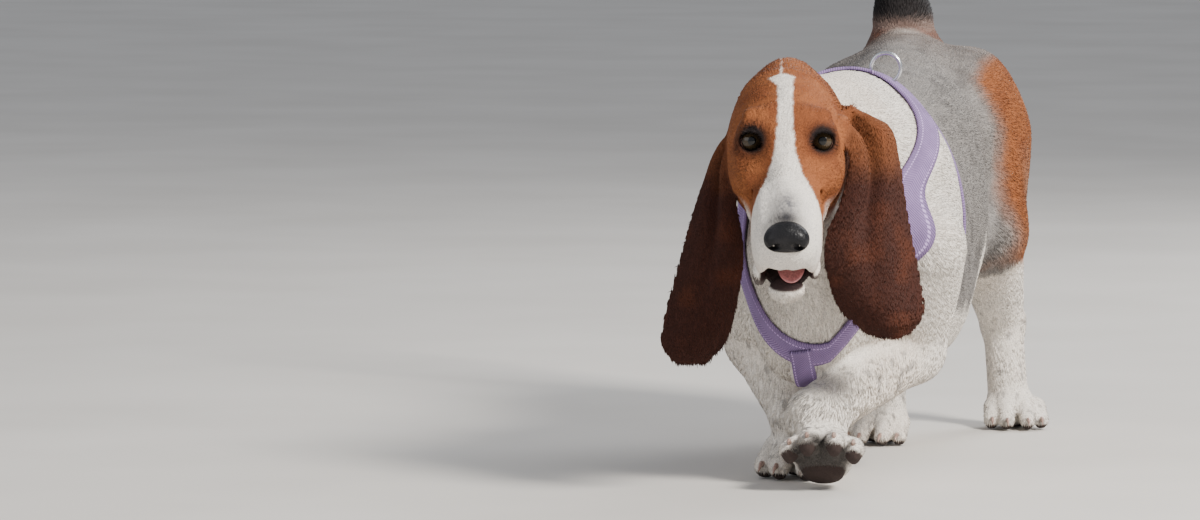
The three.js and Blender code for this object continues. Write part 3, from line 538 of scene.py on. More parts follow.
def markings(p, ear):
    """The coat's colour at points of the animal, and how bare each is; ear is how surely it is on an ear"""
    x, y, z = p.T
    ragged = (noise(p, 9) - 0.5) * 12 + (noise(p, 28) - 0.5) * 22
    fine = noise(p, 2.2) - 0.5
    l, b, u = in_head(p)
    c = np.tile(WHITE, (len(p), 1))

    def paint(mask, tone):
        nonlocal c
        c = c * (1 - mask[:, None]) + tone * mask[:, None]

    paint(step(noise(p, 60), 0.45, 0.9) * 0.35, CREAM)
    middle = 8.0
    side = x - middle
    front_edge = -150 + (366 - z) * 0.28
    flank_rise = 62 * np.exp(-(((y - 78) / 34) ** 2))
    belly_edge = 142 + flank_rise + np.where(side < 0, 14, 0) + 60 * step(y, 150, 215)
    saddle = step(y - front_edge + ragged, -10, 14) * step(z - belly_edge + ragged, -10, 12)
    # The saddle is a dark marking, painted grey: painted sheen of sun on its black hair
    paint(saddle * step(400 - z, 0, 8) * (0.9 + 0.2 * fine), GREY)
    paint(saddle * step(noise(p, 14), 0.5, 0.9) * 0.35, SOOT)
    paint(saddle * step(y, 120, 290) * 0.45 * step(z, 300, 360), colour(120, 92, 74))
    off_spine = np.abs(side) - 54 - np.maximum(z - 310, 0) * 0.45
    thigh = step(y - 150 + ragged * 0.5, -12, 16) * step(off_spine + ragged * 0.4, -8, 14)
    thigh = thigh * np.where(side < 0, step(332 - z + ragged * 0.4, -10, 10), 1)
    thigh = np.maximum(thigh, step(y - 262 + ragged * 0.5, -12, 12) * step(372 - z, -8, 10))
    thigh = thigh * step(z - 172 + ragged * 0.5, -9, 9)
    paint(thigh, TAN)
    paint(thigh * step(noise(p, 24), 0.4, 0.9) * 0.35, RUST)
    paint(thigh * step(noise(p, 40), 0.5, 0.95) * 0.3, CREAM * 0.8)
    tail = step(z, 392, 412) * step(y, 240, 260)
    paint(step(z, 374, 392) * step(y, 250, 262) * step(440 - z, 0, 10) * 0.6, RUST)
    paint(tail * step(600 - z + ragged * 0.4, -8, 10), SOOT)
    ticks = step(noise(p, 4.5) + noise(p, 11) * 0.5, 1.0, 1.1) * step(150 - z, 0, 30) * 0.55
    paint(ticks, GREY)
    on_head = step(-262 - y - (z - 303) * 0.1 + ragged * 0.5 + (u + 20) * 0.25, -8, 8) * step(u, -92, -70)
    on_head = on_head * step(np.where(l < 14, 165, 150 - l) - b + ragged * 0.4, -6, 8)
    paint(on_head, TAN)
    paint(on_head * step(noise(p, 16), 0.35, 0.8) * 0.5, RUST)
    off_blaze = np.abs(l + 1.5 + 4 * step(b, 50, 70))
    blaze = step(np.interp(b, *BLAZE) - off_blaze + ragged * 0.12 + fine * 2, -1.6, 1.8)
    paint(on_head * blaze, WHITE)
    muzzle_under = step(-66 - u + (b + 60) * 0.3 + ragged * 0.3, -6, 6) * step(-20 - b, -8, 14)
    paint(on_head * muzzle_under, WHITE)
    paint(on_head * np.exp(-((l / 15) ** 2) - (((b + 101) / 10) ** 2)) * step(u, -50, -36), SOOT * 0.6)
    nose_top = np.exp(-((l / 14) ** 2) - (((b + 84) / 19) ** 2)) * step(u, -52, -30)
    paint(on_head * nose_top * (0.75 + fine * 0.6), colour(84, 84, 90))
    for centre in EYES.values():
        away = (p - centre) @ GAZE
        r = np.linalg.norm(p - centre - away[:, None] * GAZE, axis=1)
        near_eye = step(away, -6, 0) * step(30 - away, 0, 4)
        paint(near_eye * step(22 - r + ragged * 0.15, 0, 7) * 0.6, RUST * 0.5)
        paint(near_eye * step(15.8 - r + fine, 0, 6), LIP * 0.35)
    # Dark rust on the neck behind each ear root: partly the tan there, partly painted shade of the gap
    # between face and ear
    for root in EAR_ROOTS:
        from_root = np.linalg.norm((p - root) * [1, 0.9, 0.6], axis=1)
        tan_and_shade_behind_ear = np.exp(-((from_root / 46) ** 4)) * step(-252 - y, 0, 18)
        paint(tan_and_shade_behind_ear * (1 - blaze * on_head) * step(b, 30, 55), RUST * 0.55)
    paint(ear, TAN)
    # The ear is painted darker brown, more so lower down: partly its own colour, partly painted shade on
    # the flap turned from the light
    low = step(330 - z + ragged, 0, 60)
    paint(ear * (0.45 + 0.55 * low), EAR_DARK)
    paint(ear * step(noise(p, 20), 0.5, 0.85) * 0.22, RUST)
    inside = nearness(MOUTH, p)
    in_mouth = step(1.6 - inside, -1.2, 1.2) * step(u, -104, -100)
    paint(in_mouth, LIP)
    paint(in_mouth * step(noise(p, 8), 0.4, 0.7) * 0.6, MOUTH_PINK)
    jaw_lip = step(2.6 - nearness(JAW, p), 0, 1.5) * step(u + 105 + ragged * 0.08, 0, 3)
    paint(jaw_lip, LIP)
    floor_of_mouth = step(2.6 - nearness(MOUTH_FLOOR, p), 0, 1.5)
    floor_of_mouth = floor_of_mouth * step(u + 114, 0, 4) * step(-48 - b, -5, 5)
    paint(floor_of_mouth, LIP)
    lip_fold = step(2.6 - nearness(LIP_FOLD, p), 0, 2)
    paint(lip_fold * 0.85, LIP * 1.5)
    for centre, reach in SOLES:
        under = step(reach - np.linalg.norm(p - centre, axis=1) + ragged * 0.3, 0, 9)
        paint(under * 0.9, SOOT * 1.2)
    pad = step(1.6 - nearness(PAD_SHAPES, p), 0, 1.2)
    paint(pad, PAD)
    bare = np.maximum(pad, np.maximum(in_mouth, jaw_lip))
    return np.clip(c * (1 + 0.14 * fine[:, None]), 0.003, 0.95), bare


# Which way the hair lies, from the bones that it follows
LIE = [
    ([-15, -260, 230], [10, 300, 300], [0.0, 1.0, -0.32], 90),
    ([-15, -240, 300], [-30, -290, 330], [0.1, 0.75, -0.55], 60),
    ([-28, -280, 150], [-20, -300, 220], [0.0, 0.25, -1.0], 40),
    (at(HEAD, [0, -110, -35]), at(HEAD, [0, 40, 5]), HEAD[:3, 1], 22),
    (at(HEAD, [45, 0, -40]), at(HEAD, [45, 60, -40]), HEAD[:3, 1] * 0.8 - HEAD[:3, 2] * 0.6, 22),
    (at(HEAD, [-45, 0, -40]), at(HEAD, [-45, 60, -40]), HEAD[:3, 1] * 0.8 - HEAD[:3, 2] * 0.6, 22),
    ([62, -165, 118], [-8, -284, 66], [-0.45, -0.75, -0.45], 20),
    ([-80, -160, 125], [-34, -208, 52], [0.3, -0.3, -0.9], 20),
    ([90, 178, 205], [95, 286, 106], [0.05, 0.6, -0.8], 25),
    ([96, 286, 104], [102, 284, 25], [0.0, -0.1, -1.0], 18),
    ([-60, 122, 192], [-12, 186, 98], [0.3, 0.5, -0.8], 25),
    ([-10, 186, 96], [1, 112, 26], [0.1, -0.6, -0.7], 18),
    ([-8, 304, 405], [-24, 312, 520], [-0.1, 0.0, 1.0], 20),
    ([-24, 312, 520], [-27, 268, 645], [0.0, -0.3, 1.0], 14),
]


def lie_of_hair(p, normals, ear):
    total = np.zeros_like(p)
    for start, end, direction, reach in LIE:
        a, d = np.array(start), np.array(end) - np.array(start)
        t = np.clip(((p - a) @ d) / (d @ d), 0, 1)
        away = np.linalg.norm(p - a - t[:, None] * d, axis=1)
        unit = np.array(direction) / np.linalg.norm(direction)
        total += np.exp(-away / reach)[:, None] * unit
    down = np.array([0.12, 0.0, -1.0])
    total = normalized(total) * (1 - ear[:, None]) + down * ear[:, None]
    total -= (total * normals).sum(1, keepdims=True) * normals
    return total / np.maximum(np.linalg.norm(total, axis=1, keepdims=True), 1e-6)


# Where each leg stands, and where its island starts across the unwrap
LEG_ISLANDS = {
    "fore_left": (25, -230, 0.52),
    "fore_right": (-50, -190, 0.64),
    "hind_left": (97, 270, 0.76),
    "hind_right": (-15, 150, 0.88),
}


# An unwrap of the skin's own shape: each part of the body is an island
def unwrap(p, normals, ear):
    x, y, z = p.T
    angle = np.arctan2(x - 5, z - 230) / (2 * math.pi) + 0.5
    u, v = 0.02 + angle * 0.45, 0.02 + (y + 320) / 650 * 0.95
    local = in_head(p)
    on_head = y < -300
    turned = np.arctan2(local[0], local[2] + 30) / (2 * math.pi) + 0.5
    u = np.where(on_head, 0.52 + turned * 0.22, u)
    v = np.where(on_head, 0.62 + (local[1] + 130) / 260 * 0.35, v)
    for cx, cy, u0 in LEG_ISLANDS.values():
        on_leg = (z < 140) & (np.hypot(x - cx, y - cy) < 95) & ~on_head
        spin = np.arctan2(x - cx, y - cy) / (2 * math.pi) + 0.5
        u = np.where(on_leg, u0 + spin * 0.1, u)
        v = np.where(on_leg, 0.03 + z / 140 * 0.25, v)
    on_tail = (z > 400) & (y > 240)
    spin = np.arctan2(x + 16, y - 305) / (2 * math.pi) + 0.5
    u = np.where(on_tail, 0.52 + spin * 0.2, u)
    v = np.where(on_tail, 0.32 + (z - 400) / 270 * 0.27, v)
    on_ear = ear > 0.5
    face = np.where(normals[:, 1] < 0, 0.0, 0.12) + np.where(x > 0, 0.24, 0)
    u = np.where(on_ear, 0.76 + face * 0.48 + np.abs(x) / 150 * 0.055, u)
    v = np.where(on_ear, 0.32 + (z - 100) / 270 * 0.65, v)
    return np.stack([u, v], 1)


# Mesh helpers
def new_piece(name, points, faces, material, smooth=True, corners=4):
    mesh = bpy.data.meshes.new(name)
    mesh.vertices.add(len(points))
    mesh.vertices.foreach_set("co", to_row(points).astype(np.float32).ravel())
    mesh.loops.add(faces.size)
    mesh.loops.foreach_set("vertex_index", faces.astype(np.int32).ravel())
    mesh.polygons.add(len(faces))
    mesh.polygons.foreach_set("loop_start", np.arange(len(faces), dtype=np.int32) * corners)
    mesh.polygons.foreach_set("use_smooth", np.full(len(faces), smooth))
    mesh.update(calc_edges=True)
    mesh.validate()
    mesh.materials.append(material)
    piece = bpy.data.objects.new(name, mesh)
    bpy.context.scene.collection.objects.link(piece)
    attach(piece, "root")
    return piece


def set_colours(piece, colours, name="coat"):
    layer = piece.data.color_attributes.new(name, "FLOAT_COLOR", "POINT")
    opaque = np.hstack([colours, np.ones((len(colours), 1))])
    layer.data.foreach_set("color", opaque.astype(np.float32).ravel())


def set_values(piece, values, name):
    layer = piece.data.attributes.new(name, "FLOAT", "POINT")
    layer.data.foreach_set("value", values.astype(np.float32))


# Materials
class Nodes:
    def __init__(self, name):
        self.material = bpy.data.materials.new(name)
        self.material.use_nodes = True
        self.tree = self.material.node_tree
        self.shader = self.tree.nodes["Principled BSDF"]

    def make(self, kind, **inputs):
        node = self.tree.nodes.new(kind)
        for key, value in inputs.items():
            self.put(node, key.replace("_", " "), value)
        return node

    def put(self, node, key, value):
        if isinstance(value, bpy.types.NodeSocket):
            self.tree.links.new(value, node.inputs[key])
        else:
            node.inputs[key].default_value = value

    def attribute(self, name, output="Color"):
        node = self.tree.nodes.new("ShaderNodeAttribute")
        node.attribute_name = name
        return node.outputs[output]

    def by_place(self, node):
        coordinates = self.tree.nodes.new("ShaderNodeTexCoord")
        self.tree.links.new(coordinates.outputs["Object"], node.inputs["Vector"])
        return node

    def noise(self, scale, detail=2.0):
        return self.by_place(self.make("ShaderNodeTexNoise", Scale=scale, Detail=detail)).outputs["Fac"]

    def ramp(self, value, stops):
        node = self.tree.nodes.new("ShaderNodeValToRGB")
        self.tree.links.new(value, node.inputs["Fac"])
        elements = node.color_ramp.elements
        while len(elements) < len(stops):
            elements.new(0.5)
        for element, (position, tone) in zip(elements, stops):
            element.position = position
            element.color = (*tone, 1)
        return node.outputs["Color"]

    def mixed(self, mode, factor, a, b):
        node = self.tree.nodes.new("ShaderNodeMix")
        node.data_type = "RGBA"
        node.blend_type = mode
        for key, value in ((0, factor), (6, a), (7, b)):
            self.put(node, key, value)
        return node.outputs[2]

    def bump(self, height, strength, distance):
        node = self.make("ShaderNodeBump", Strength=strength, Distance=distance, Height=height)
        self.tree.links.new(node.outputs["Normal"], self.shader.inputs["Normal"])

    def finish(self, **inputs):
        for key, value in inputs.items():
            self.put(self.shader, key.replace("_", " "), value)
        return self.material


def grey(v):
    return (v, v, v)


def coat_material(name, roughness, bump):
    n = Nodes(name)
    shade = n.ramp(n.noise(900, 3), [(0.3, grey(0.72)), (0.7, grey(1.16))])
    tone = n.mixed("MULTIPLY", 1.0, n.attribute("coat"), shade)
    if bump:
        n.bump(n.noise(1500, 2), 0.5, 0.0008)
    return n.finish(Base_Color=tone, Roughness=roughness, Specular_IOR_Level=0.25)


def nose_material():
    n = Nodes("nose_leather")
    cells = n.by_place(n.make("ShaderNodeTexVoronoi", Scale=620.0))
    tone = n.ramp(n.noise(60, 3), [(0.35, (0.006, 0.006, 0.007)), (0.75, (0.020, 0.019, 0.021))])
    n.bump(cells.outputs["Distance"], 0.55, 0.0006)
    return n.finish(
        Base_Color=tone, Roughness=0.4, Specular_IOR_Level=0.14, Coat_Weight=0.1, Coat_Roughness=0.22,
    )


TWILL_PITCH = 2.4
STITCH_PITCH = 3.4
STITCH_ROW = 7.6
THREAD = 0.55


def webbing_material(name, light, dark):
    """Webbing by its own run and width, in millimetres: a twill with two rows of stitches, the twill's ribs
    painted light and its grooves painted shade
    """
    n = Nodes(name)

    def sums(operation, a, b=0.0):
        node = n.tree.nodes.new("ShaderNodeMath")
        node.operation = operation
        n.put(node, 0, a)
        n.put(node, 1, b)
        return node.outputs[0]

    along, across = n.attribute("along", "Fac"), n.attribute("across", "Fac")
    slanted = sums("ADD", along, sums("ABSOLUTE", across))
    twill = sums("SINE", sums("MULTIPLY", slanted, 2 * math.pi / TWILL_PITCH))
    twill = sums("ADD", sums("MULTIPLY", twill, 0.5), 0.5)
    off_row = sums("ABSOLUTE", sums("SUBTRACT", sums("ABSOLUTE", across), STITCH_ROW))
    dash = sums("GREATER_THAN", sums("SINE", sums("MULTIPLY", along, 2 * math.pi / STITCH_PITCH)), -0.3)
    stitch = sums("MULTIPLY", sums("LESS_THAN", off_row, THREAD), dash)
    # The twill runs from the dark tone to the light one: painted shade in its grooves and painted light on
    # its ribs, over the twill's bump
    tone = n.ramp(twill, [(0.1, dark), (0.9, light)])
    worn = n.ramp(n.noise(45, 3), [(0.3, grey(0.8)), (0.7, grey(1.1))])
    tone = n.mixed("MULTIPLY", 1.0, tone, worn)
    tone = n.mixed("MIX", stitch, tone, (*[min(1, v * 1.7) for v in light], 1))
    n.bump(sums("ADD", twill, sums("MULTIPLY", stitch, 1.5)), 0.6, 0.0005)
    return n.finish(Base_Color=tone, Roughness=0.85, Specular_IOR_Level=0.25)


def plain_material(name, tone, roughness, metallic=0.0, coat=0.0, scale=300, wear=0.35):
    n = Nodes(name)
    darker = [v * (1 - wear) for v in tone]
    lighter = [min(1, v * (1 + wear)) for v in tone]
    varied = n.ramp(n.noise(scale, 3), [(0.3, darker), (0.7, lighter)])
    n.bump(n.noise(scale * 3, 2), 0.12, 0.0004)
    return n.finish(Base_Color=varied, Roughness=roughness, Metallic=metallic, Coat_Weight=coat)


SKIN_COAT = coat_material("skin_coat", 0.82, True)
HAIR_COAT = coat_material("hair_coat", 0.68, False)

# Skin
field = skin_field()
skin_points, skin_quads = meshed(field, AXES)
del field
a, b, c, d = (skin_points[skin_quads[:, i]] for i in range(4))
face_normals = np.cross(c - a, d - b)
face_areas = np.linalg.norm(face_normals, axis=1) / 2
normals = np.stack([
    np.bincount(skin_quads.ravel(), np.repeat(face_normals[:, i], 4), len(skin_points)) for i in range(3)
], 1)
normals /= np.maximum(np.linalg.norm(normals, axis=1, keepdims=True), 1e-9)
EAR_SAMPLES = [ear_sheet(EARS[name], side, 60, 26) for name, side in SIDES.items()]


def ear_mask(p):
    """How surely each point is on an ear: near a sheet's own points, away from its root"""
    mask = np.zeros(len(p))
    for flat, _, t, _ in EAR_SAMPLES:
        low, high = flat.min(0) - 8, flat.max(0) + 8
        samples = flat.astype(np.float32)[None]
        ids = np.nonzero(((p > low) & (p < high)).all(1))[0]
        for chunk in np.array_split(ids, max(1, len(ids) // 4000)):
            if len(chunk):
                r = np.linalg.norm(p[chunk][:, None, :].astype(np.float32) - samples, axis=2)
                n = r.argmin(1)
                mask[chunk] = np.maximum(mask[chunk], step(5.2 - r.min(1), 0, 2) * step(t[n], 0.0, 0.05))
    return mask


skin_ear = ear_mask(skin_points)
skin_colours, skin_bare = markings(skin_points, skin_ear)
skin = new_piece("skin", skin_points, skin_quads, SKIN_COAT)
set_colours(skin, skin_colours)
SKIN_NODES = [
    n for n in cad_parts
    if not n.startswith(("eye_", "harness_")) and n not in ("nose", "tongue")
]
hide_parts(*SKIN_NODES)


# Harness
def strap_surface():
    """The trunk, neck and upper arms alone, which the straps lie on"""
    axes = [np.arange(l, h, 3.0) for l, h in ((-160, 160), (-400, 40), (30, 420))]
    x, y, z = axes[0][:, None, None], axes[1][None, :, None], axes[2][None, None, :]
    value = np.full([len(a) for a in axes], 1000.0)
    for shape in [*TRUNK, *NECK]:
        value = soft_min(value, shape.distance(x, y, z), shape.blend)
    body = value.copy()
    for leg in ("fore_left", "fore_right"):
        own = body
        for shape in (LEGS[leg][0], LEGS[leg][2]):
            own = soft_min(own, shape.distance(x, y, z), shape.blend)
        value = np.minimum(value, own)
    points, quads = meshed(value.astype(np.float32), axes, 1)
    return BVHTree.FromPolygons([Vector(p) for p in points], [list(map(int, q)) for q in quads])


tree = strap_surface()
strap_lines = []
WEB_FINISH = webbing_material("webbing", (0.30, 0.21, 0.40), (0.17, 0.11, 0.25))
STRAP_PROFILE = [
    (-1.0, 0.0), (-1.02, 0.5), (-0.98, 0.95), (-0.5, 1.0), (0.0, 1.0), (0.5, 1.0),
    (0.98, 0.95), (1.02, 0.5), (1.0, 0.0), (0.5, 0.0), (0.0, 0.0), (-0.5, 0.0),
]
STRAP_SAMPLES = (-1, -0.5, 0, 0.5, 1)
STRAP_TOP = 3.6
STRAP_BOW = 42


def strap(name, node, centres, rays, across, closed):
    rows = len(centres)
    reach = np.zeros((rows, len(STRAP_SAMPLES)))
    for i in range(rows):
        for k, w in enumerate(STRAP_SAMPLES):
            start = Vector(centres[i] + across[i] * w * STRAP_WIDTH / 2)
            hit = tree.ray_cast(start, Vector(rays[i]))
            reach[i, k] = hit[3] if hit[0] is not None else 0
    order = np.arange(rows)
    left = (order - 1) % rows if closed else np.maximum(order - 1, 0)
    right = (order + 1) % rows if closed else np.minimum(order + 1, rows - 1)
    for _ in range(10):
        reach = np.maximum(reach, (reach[left] + reach[right]) / 2)
    for w in (-0.6, 0, 0.6):
        middle = np.array([np.interp(w, STRAP_SAMPLES, r) for r in reach])[:, None]
        strap_lines.append(centres + across * w * STRAP_WIDTH / 2 + rays * middle)
    points, attributes = [], []
    run = 0.0
    for i in range(rows):
        if i:
            here = centres[i] + rays[i] * reach[i, 2]
            before = centres[i - 1] + rays[i - 1] * reach[i - 1, 2]
            run += np.linalg.norm(here - before)
        for w, h in STRAP_PROFILE:
            r = np.interp(w, STRAP_SAMPLES, reach[i]) + STRAP_TOP * h
            points.append(centres[i] + across[i] * w * STRAP_WIDTH / 2 + rays[i] * r)
            attributes.append((run, w * STRAP_WIDTH / 2, abs(w)))
    n = len(STRAP_PROFILE)
    faces = []
    for i in range(rows if closed else rows - 1):
        for k in range(n):
            a0, b0 = i * n, ((i + 1) % rows) * n
            faces.append([a0 + k, a0 + (k + 1) % n, b0 + (k + 1) % n, b0 + k])
    faces = np.array(faces)
    triangles = np.vstack([faces[:, [0, 1, 2]], faces[:, [0, 2, 3]]])
    if not closed:
        fan = np.array([[0, k + 1, k] for k in range(1, n - 1)])
        triangles = np.vstack([triangles, fan, fan[:, ::-1] + (rows - 1) * n])
    points = np.array(points)
    a0, b0, c0 = (points[triangles[:, i]] for i in range(3))
    if (np.cross(b0 - a0, c0 - a0) * (a0 + b0 + c0)).sum() < 0:
        triangles = triangles[:, ::-1]
    piece = new_piece(name, points, triangles, WEB_FINISH, True, 3)
    for k, label in enumerate(("along", "across", "stitch")):
        set_values(piece, np.array(attributes)[:, k], label)
    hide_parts(node)


def loop(name, node, centre, normal, bow=0, steps=220):
    across = np.array(normal, float)
    across /= np.linalg.norm(across)
    up = np.array([0, 0, 1.0]) - across * across[2]
    up /= np.linalg.norm(up)
    right = np.cross(across, up)
    angles = np.arange(steps) * 2 * math.pi / steps
    rays = np.cos(angles)[:, None] * up - np.sin(angles)[:, None] * right
    lean = np.abs(np.sin(angles)) * (1 - 0.3 * np.cos(angles))
    centres = np.array(centre, float) - bow * lean[:, None] * across
    strap(name, node, centres, rays, np.tile(across, (steps, 1)), True)


def run_strap(name, node, start, end, first_ray, last_ray, steps=60):
    t = np.linspace(0, 1, steps)[:, None]
    start, end = np.array(start, float), np.array(end, float)
    rays = normalized(np.array(first_ray) * (1 - t) + np.array(last_ray) * t)
    across = normalized(np.cross(np.tile(end - start, (steps, 1)), rays))
    strap(name, node, start + (end - start) * t, rays, across, False)


loop("neck_webbing", "harness_neck_strap", [0, -200, 262], [-0.033, 0.852, -0.523], STRAP_BOW)
loop("girth_webbing", "harness_girth_strap", [0, -100, 230], [0, 0.998, -0.06])
UP, DOWN, CHEST_RAY = [0, 0, 1], [0, 0, -1], [0, -0.8, -0.6]
run_strap("sternum_webbing", "harness_sternum_strap", [-22, -215, 190], [-14, -98, 190], CHEST_RAY, DOWN)
run_strap("back_webbing", "harness_back_strap", [32, -150, 290], [32, -84, 290], UP, UP)
METAL_FINISH = plain_material("ring_steel", (0.62, 0.63, 0.66), 0.25, metallic=1.0, scale=900, wear=0.12)
ring_low, ring_high = (np.array(v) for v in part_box("harness_ring"))


def ring_piece():
    centre = (ring_low + ring_high) / 2
    radius, wire = 0.0140, 0.0018
    bpy.ops.mesh.primitive_torus_add(
        major_radius=radius, minor_radius=wire, major_segments=64, minor_segments=16,
        location=(centre[0], centre[1], ring_high[2] - radius - wire), rotation=(math.pi / 2, 0, 0))
    piece = bpy.context.object
    piece.name = "lead_ring"
    bpy.ops.object.transform_apply(location=True, rotation=True, scale=True)
    for polygon in piece.data.polygons:
        polygon.use_smooth = True
    piece.data.materials.append(METAL_FINISH)
    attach(piece, "root")
    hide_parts("harness_ring")


ring_piece()


# Coat: four-cornered tufts, shorter on face, ears and feet, longer on neck and tail
HAIR = {
    "body": 7.0, "leg": 5.5, "neck": 7.5, "head": 3.9, "muzzle": 2.6, "ear": 4.2, "tail": 11.0, "paw": 4.0,
}
HEAD_DENSITY, LOW_DENSITY = 2.6, 1.6
HEAD_FRONT = -330
NECK_FRONT = -255
MUZZLE_FRONT = -430
LEG_TOP = 130
PAW_TOP = 40
TAIL_BASE = 400
# Each tuft is painted darker at its root and lighter at its tip: painted shade among the hairs and painted
# light on the tips
TUFT_ROOT_SHADE_TIP_LIGHT = [0.82, 0.82, 0.92, 1.12]


def coat():
    rng = np.random.default_rng(SEED)
    centre = skin_points[skin_quads].mean(1)
    weight = face_areas.copy()
    head = centre[:, 1] < HEAD_FRONT
    weight *= np.where(head, HEAD_DENSITY, 1.0) * np.where((centre[:, 2] < 60), LOW_DENSITY, 1.0)
    weight *= 1 - step(skin_bare[skin_quads].mean(1), 0.2, 0.6)
    weight *= centre[:, 2] > 2
    lines = KDTree(sum(len(line) for line in strap_lines))
    for n, point in enumerate(np.vstack(strap_lines)):
        lines.insert(point, n)
    lines.balance()
    near = np.nonzero((centre[:, 1] < 0) & (centre[:, 1] > -360) & (weight > 0))[0]
    away = np.array([lines.find(centre[n])[2] for n in near])
    weight[near[away < STRAP_WIDTH * 0.36]] = 0
    count = TUFTS
    faces = rng.choice(len(weight), count, p=weight / weight.sum())
    faces = faces[np.argsort(centre[faces, 1] + centre[faces, 2] * 0.01, kind="stable")]
    s, t = rng.random((2, count, 1))
    q = skin_quads[faces]
    corners = [skin_points[q[:, i]] for i in range(4)]
    root = (corners[0] * (1 - s) + corners[1] * s) * (1 - t) + (corners[3] * (1 - s) + corners[2] * s) * t
    normal = normalized(normals[q].mean(1))
    ear = skin_ear[q].mean(1)
    tone = markings(root, ear)[0] * rng.uniform(0.86, 1.12, (count, 1))
    lie = lie_of_hair(root, normal, ear)
    across = np.cross(normal, lie)
    lie = lie + across * rng.normal(0, 0.09, (count, 1))
    x, y, z = root.T
    places = {
        "leg": z < LEG_TOP,
        "neck": (y < NECK_FRONT) & (y > HEAD_FRONT),
        "head": y < HEAD_FRONT,
        "muzzle": y < MUZZLE_FRONT,
        "ear": ear > 0.5,
        "tail": (z > TAIL_BASE) & (y > 200),
        "paw": z < PAW_TOP,
    }
    length = np.full(count, HAIR["body"])
    for part, there in places.items():
        length[there] = HAIR[part]
    length = (length * rng.uniform(0.75, 1.25, count))[:, None]
    lift = rng.uniform(0.05, 0.15, (count, 1))
    width = 0.075 * length + 0.22
    base = root - normal * 0.5
    tip = root + (lie + normal * lift) * length - normal * 0.35
    points = np.stack([
        base + across * width, base - across * width, base + normal * (width * 1.1 + 0.25), tip,
    ], 1).reshape(-1, 3)
    uv_root = unwrap(root, normal, ear)
    patch = np.array([[0.0015, 0.0], [-0.0015, 0.0], [0.0, 0.0012], [0.0, 0.0015]])
    uv = (uv_root[:, None, :] + patch[None]).reshape(-1, 2)
    pattern = np.array([[0, 2, 3], [2, 1, 3], [1, 0, 3], [0, 1, 2]])
    for number, first in enumerate(range(0, count, TUFTS_A_PIECE)):
        last = min(first + TUFTS_A_PIECE, count)
        rows = slice(first * 4, last * 4)
        triangles = (np.arange(last - first)[:, None, None] * 4 + pattern[None]).reshape(-1, 3)
        piece = new_piece(f"coat_{number + 1}", points[rows], triangles, HAIR_COAT, True, 3)
        # Tuft colours: painted shade at the roots, painted light at the tips
        fade = np.tile(TUFT_ROOT_SHADE_TIP_LIGHT, last - first)[:, None]
        set_colours(piece, np.repeat(tone[first:last], 4, axis=0) * fade)
        layer = piece.data.uv_layers.new(name="OFBake")
        layer.data.foreach_set("uv", uv[rows][triangles.ravel()].astype(np.float32).ravel())


coat()


# A small part by itself, on an even grid
def small_mesh(shapes, step_size, pad=4):
    low = np.min([s.low for s in shapes if not s.cut], axis=0) - pad
    high = np.max([s.high for s in shapes if not s.cut], axis=0) + pad
    axes = [np.arange(l, h, step_size) for l, h in zip(low, high)]
    x, y, z = np.meshgrid(*axes, indexing="ij")
    value = np.full(x.shape, 1000.0)
    for s in shapes:
        value = joined(value, s.distance(x, y, z), s)
    return meshed(value.astype(np.float32), axes)


# Eyes: the iris and pupil look where the camera stands
IRIS_EDGE = 54
PUPIL_EDGE = 20


def eye_piece(name):
    rings, around = 70, 96
    gaze = Vector((0.17, -0.98, 0.02)).normalized()
    turn = np.array(gaze.to_track_quat("Z", "Y").to_matrix())
    lat = np.linspace(0, math.pi, rings)[1:-1]
    lon = np.arange(around) * 2 * math.pi / around
    unit = np.stack([
        np.outer(np.sin(lat), np.cos(lon)),
        np.outer(np.sin(lat), np.sin(lon)),
        np.outer(np.cos(lat), np.ones(around)),
    ], 2).reshape(-1, 3)
    unit = np.vstack([unit, [[0, 0, 1], [0, 0, -1]]])
    angle = np.degrees(np.arccos(np.clip(unit[:, 2], -1, 1)))
    radius = EYE_RADIUS + 0.35 * np.exp(-((angle / 26) ** 4))
    points = (unit * radius[:, None]) @ turn.T + EYES[name]
    spin = np.arctan2(unit[:, 1], unit[:, 0])
    streak = 0.75 + 0.25 * np.sin(spin * 23 + 3 * np.sin(spin * 7)) * np.sin(spin * 41)
    iris = colour(72, 58, 40)
    c = np.tile(colour(168, 128, 118), (len(points), 1))
    c = c * (1 - step(angle, 46, 66)[:, None] * 0.6)
    in_iris = step(IRIS_EDGE - angle, -1.5, 1.5)[:, None]
    c = c * (1 - in_iris) + in_iris * iris * (streak * (1 - 0.55 * step(angle, 36, 52)))[:, None]
    ring = np.exp(-(((angle - IRIS_EDGE) / 5) ** 2))[:, None] * 0.9
    c = c * (1 - ring) + ring * colour(28, 20, 18)
    pupil = step(PUPIL_EDGE - angle, -1.2, 1.2)[:, None]
    c = c * (1 - pupil) + pupil * 0.004
    rows = len(lat)
    i = np.arange(rows - 1)[:, None] * around + np.arange(around)[None]
    j = np.arange(rows - 1)[:, None] * around + (np.arange(around)[None] + 1) % around
    quads = np.stack([i, i + around, j + around, j], 2).reshape(-1, 4)
    top, bottom = rows * around, rows * around + 1
    ring_ids = np.arange(around)
    nxt = (ring_ids + 1) % around
    last_row = (rows - 1) * around
    caps = np.vstack([
        np.stack([np.full(around, top), ring_ids, nxt, nxt], 1),
        np.stack([np.full(around, bottom), nxt + last_row, ring_ids + last_row, ring_ids + last_row], 1),
    ])
    triangles = np.vstack([quads[:, [0, 1, 2]], quads[:, [0, 2, 3]], caps[:, :3]])
    piece = new_piece(f"eyeball_{name}", points, triangles, EYE_FINISH, True, 3)
    set_colours(piece, c)
    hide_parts(f"eye_{name}")


def eye_material():
    n = Nodes("eye_wet")
    return n.finish(
        Base_Color=n.attribute("coat"), Roughness=0.15, Specular_IOR_Level=0.25,
        Coat_Weight=0.35, Coat_Roughness=0.02,
    )


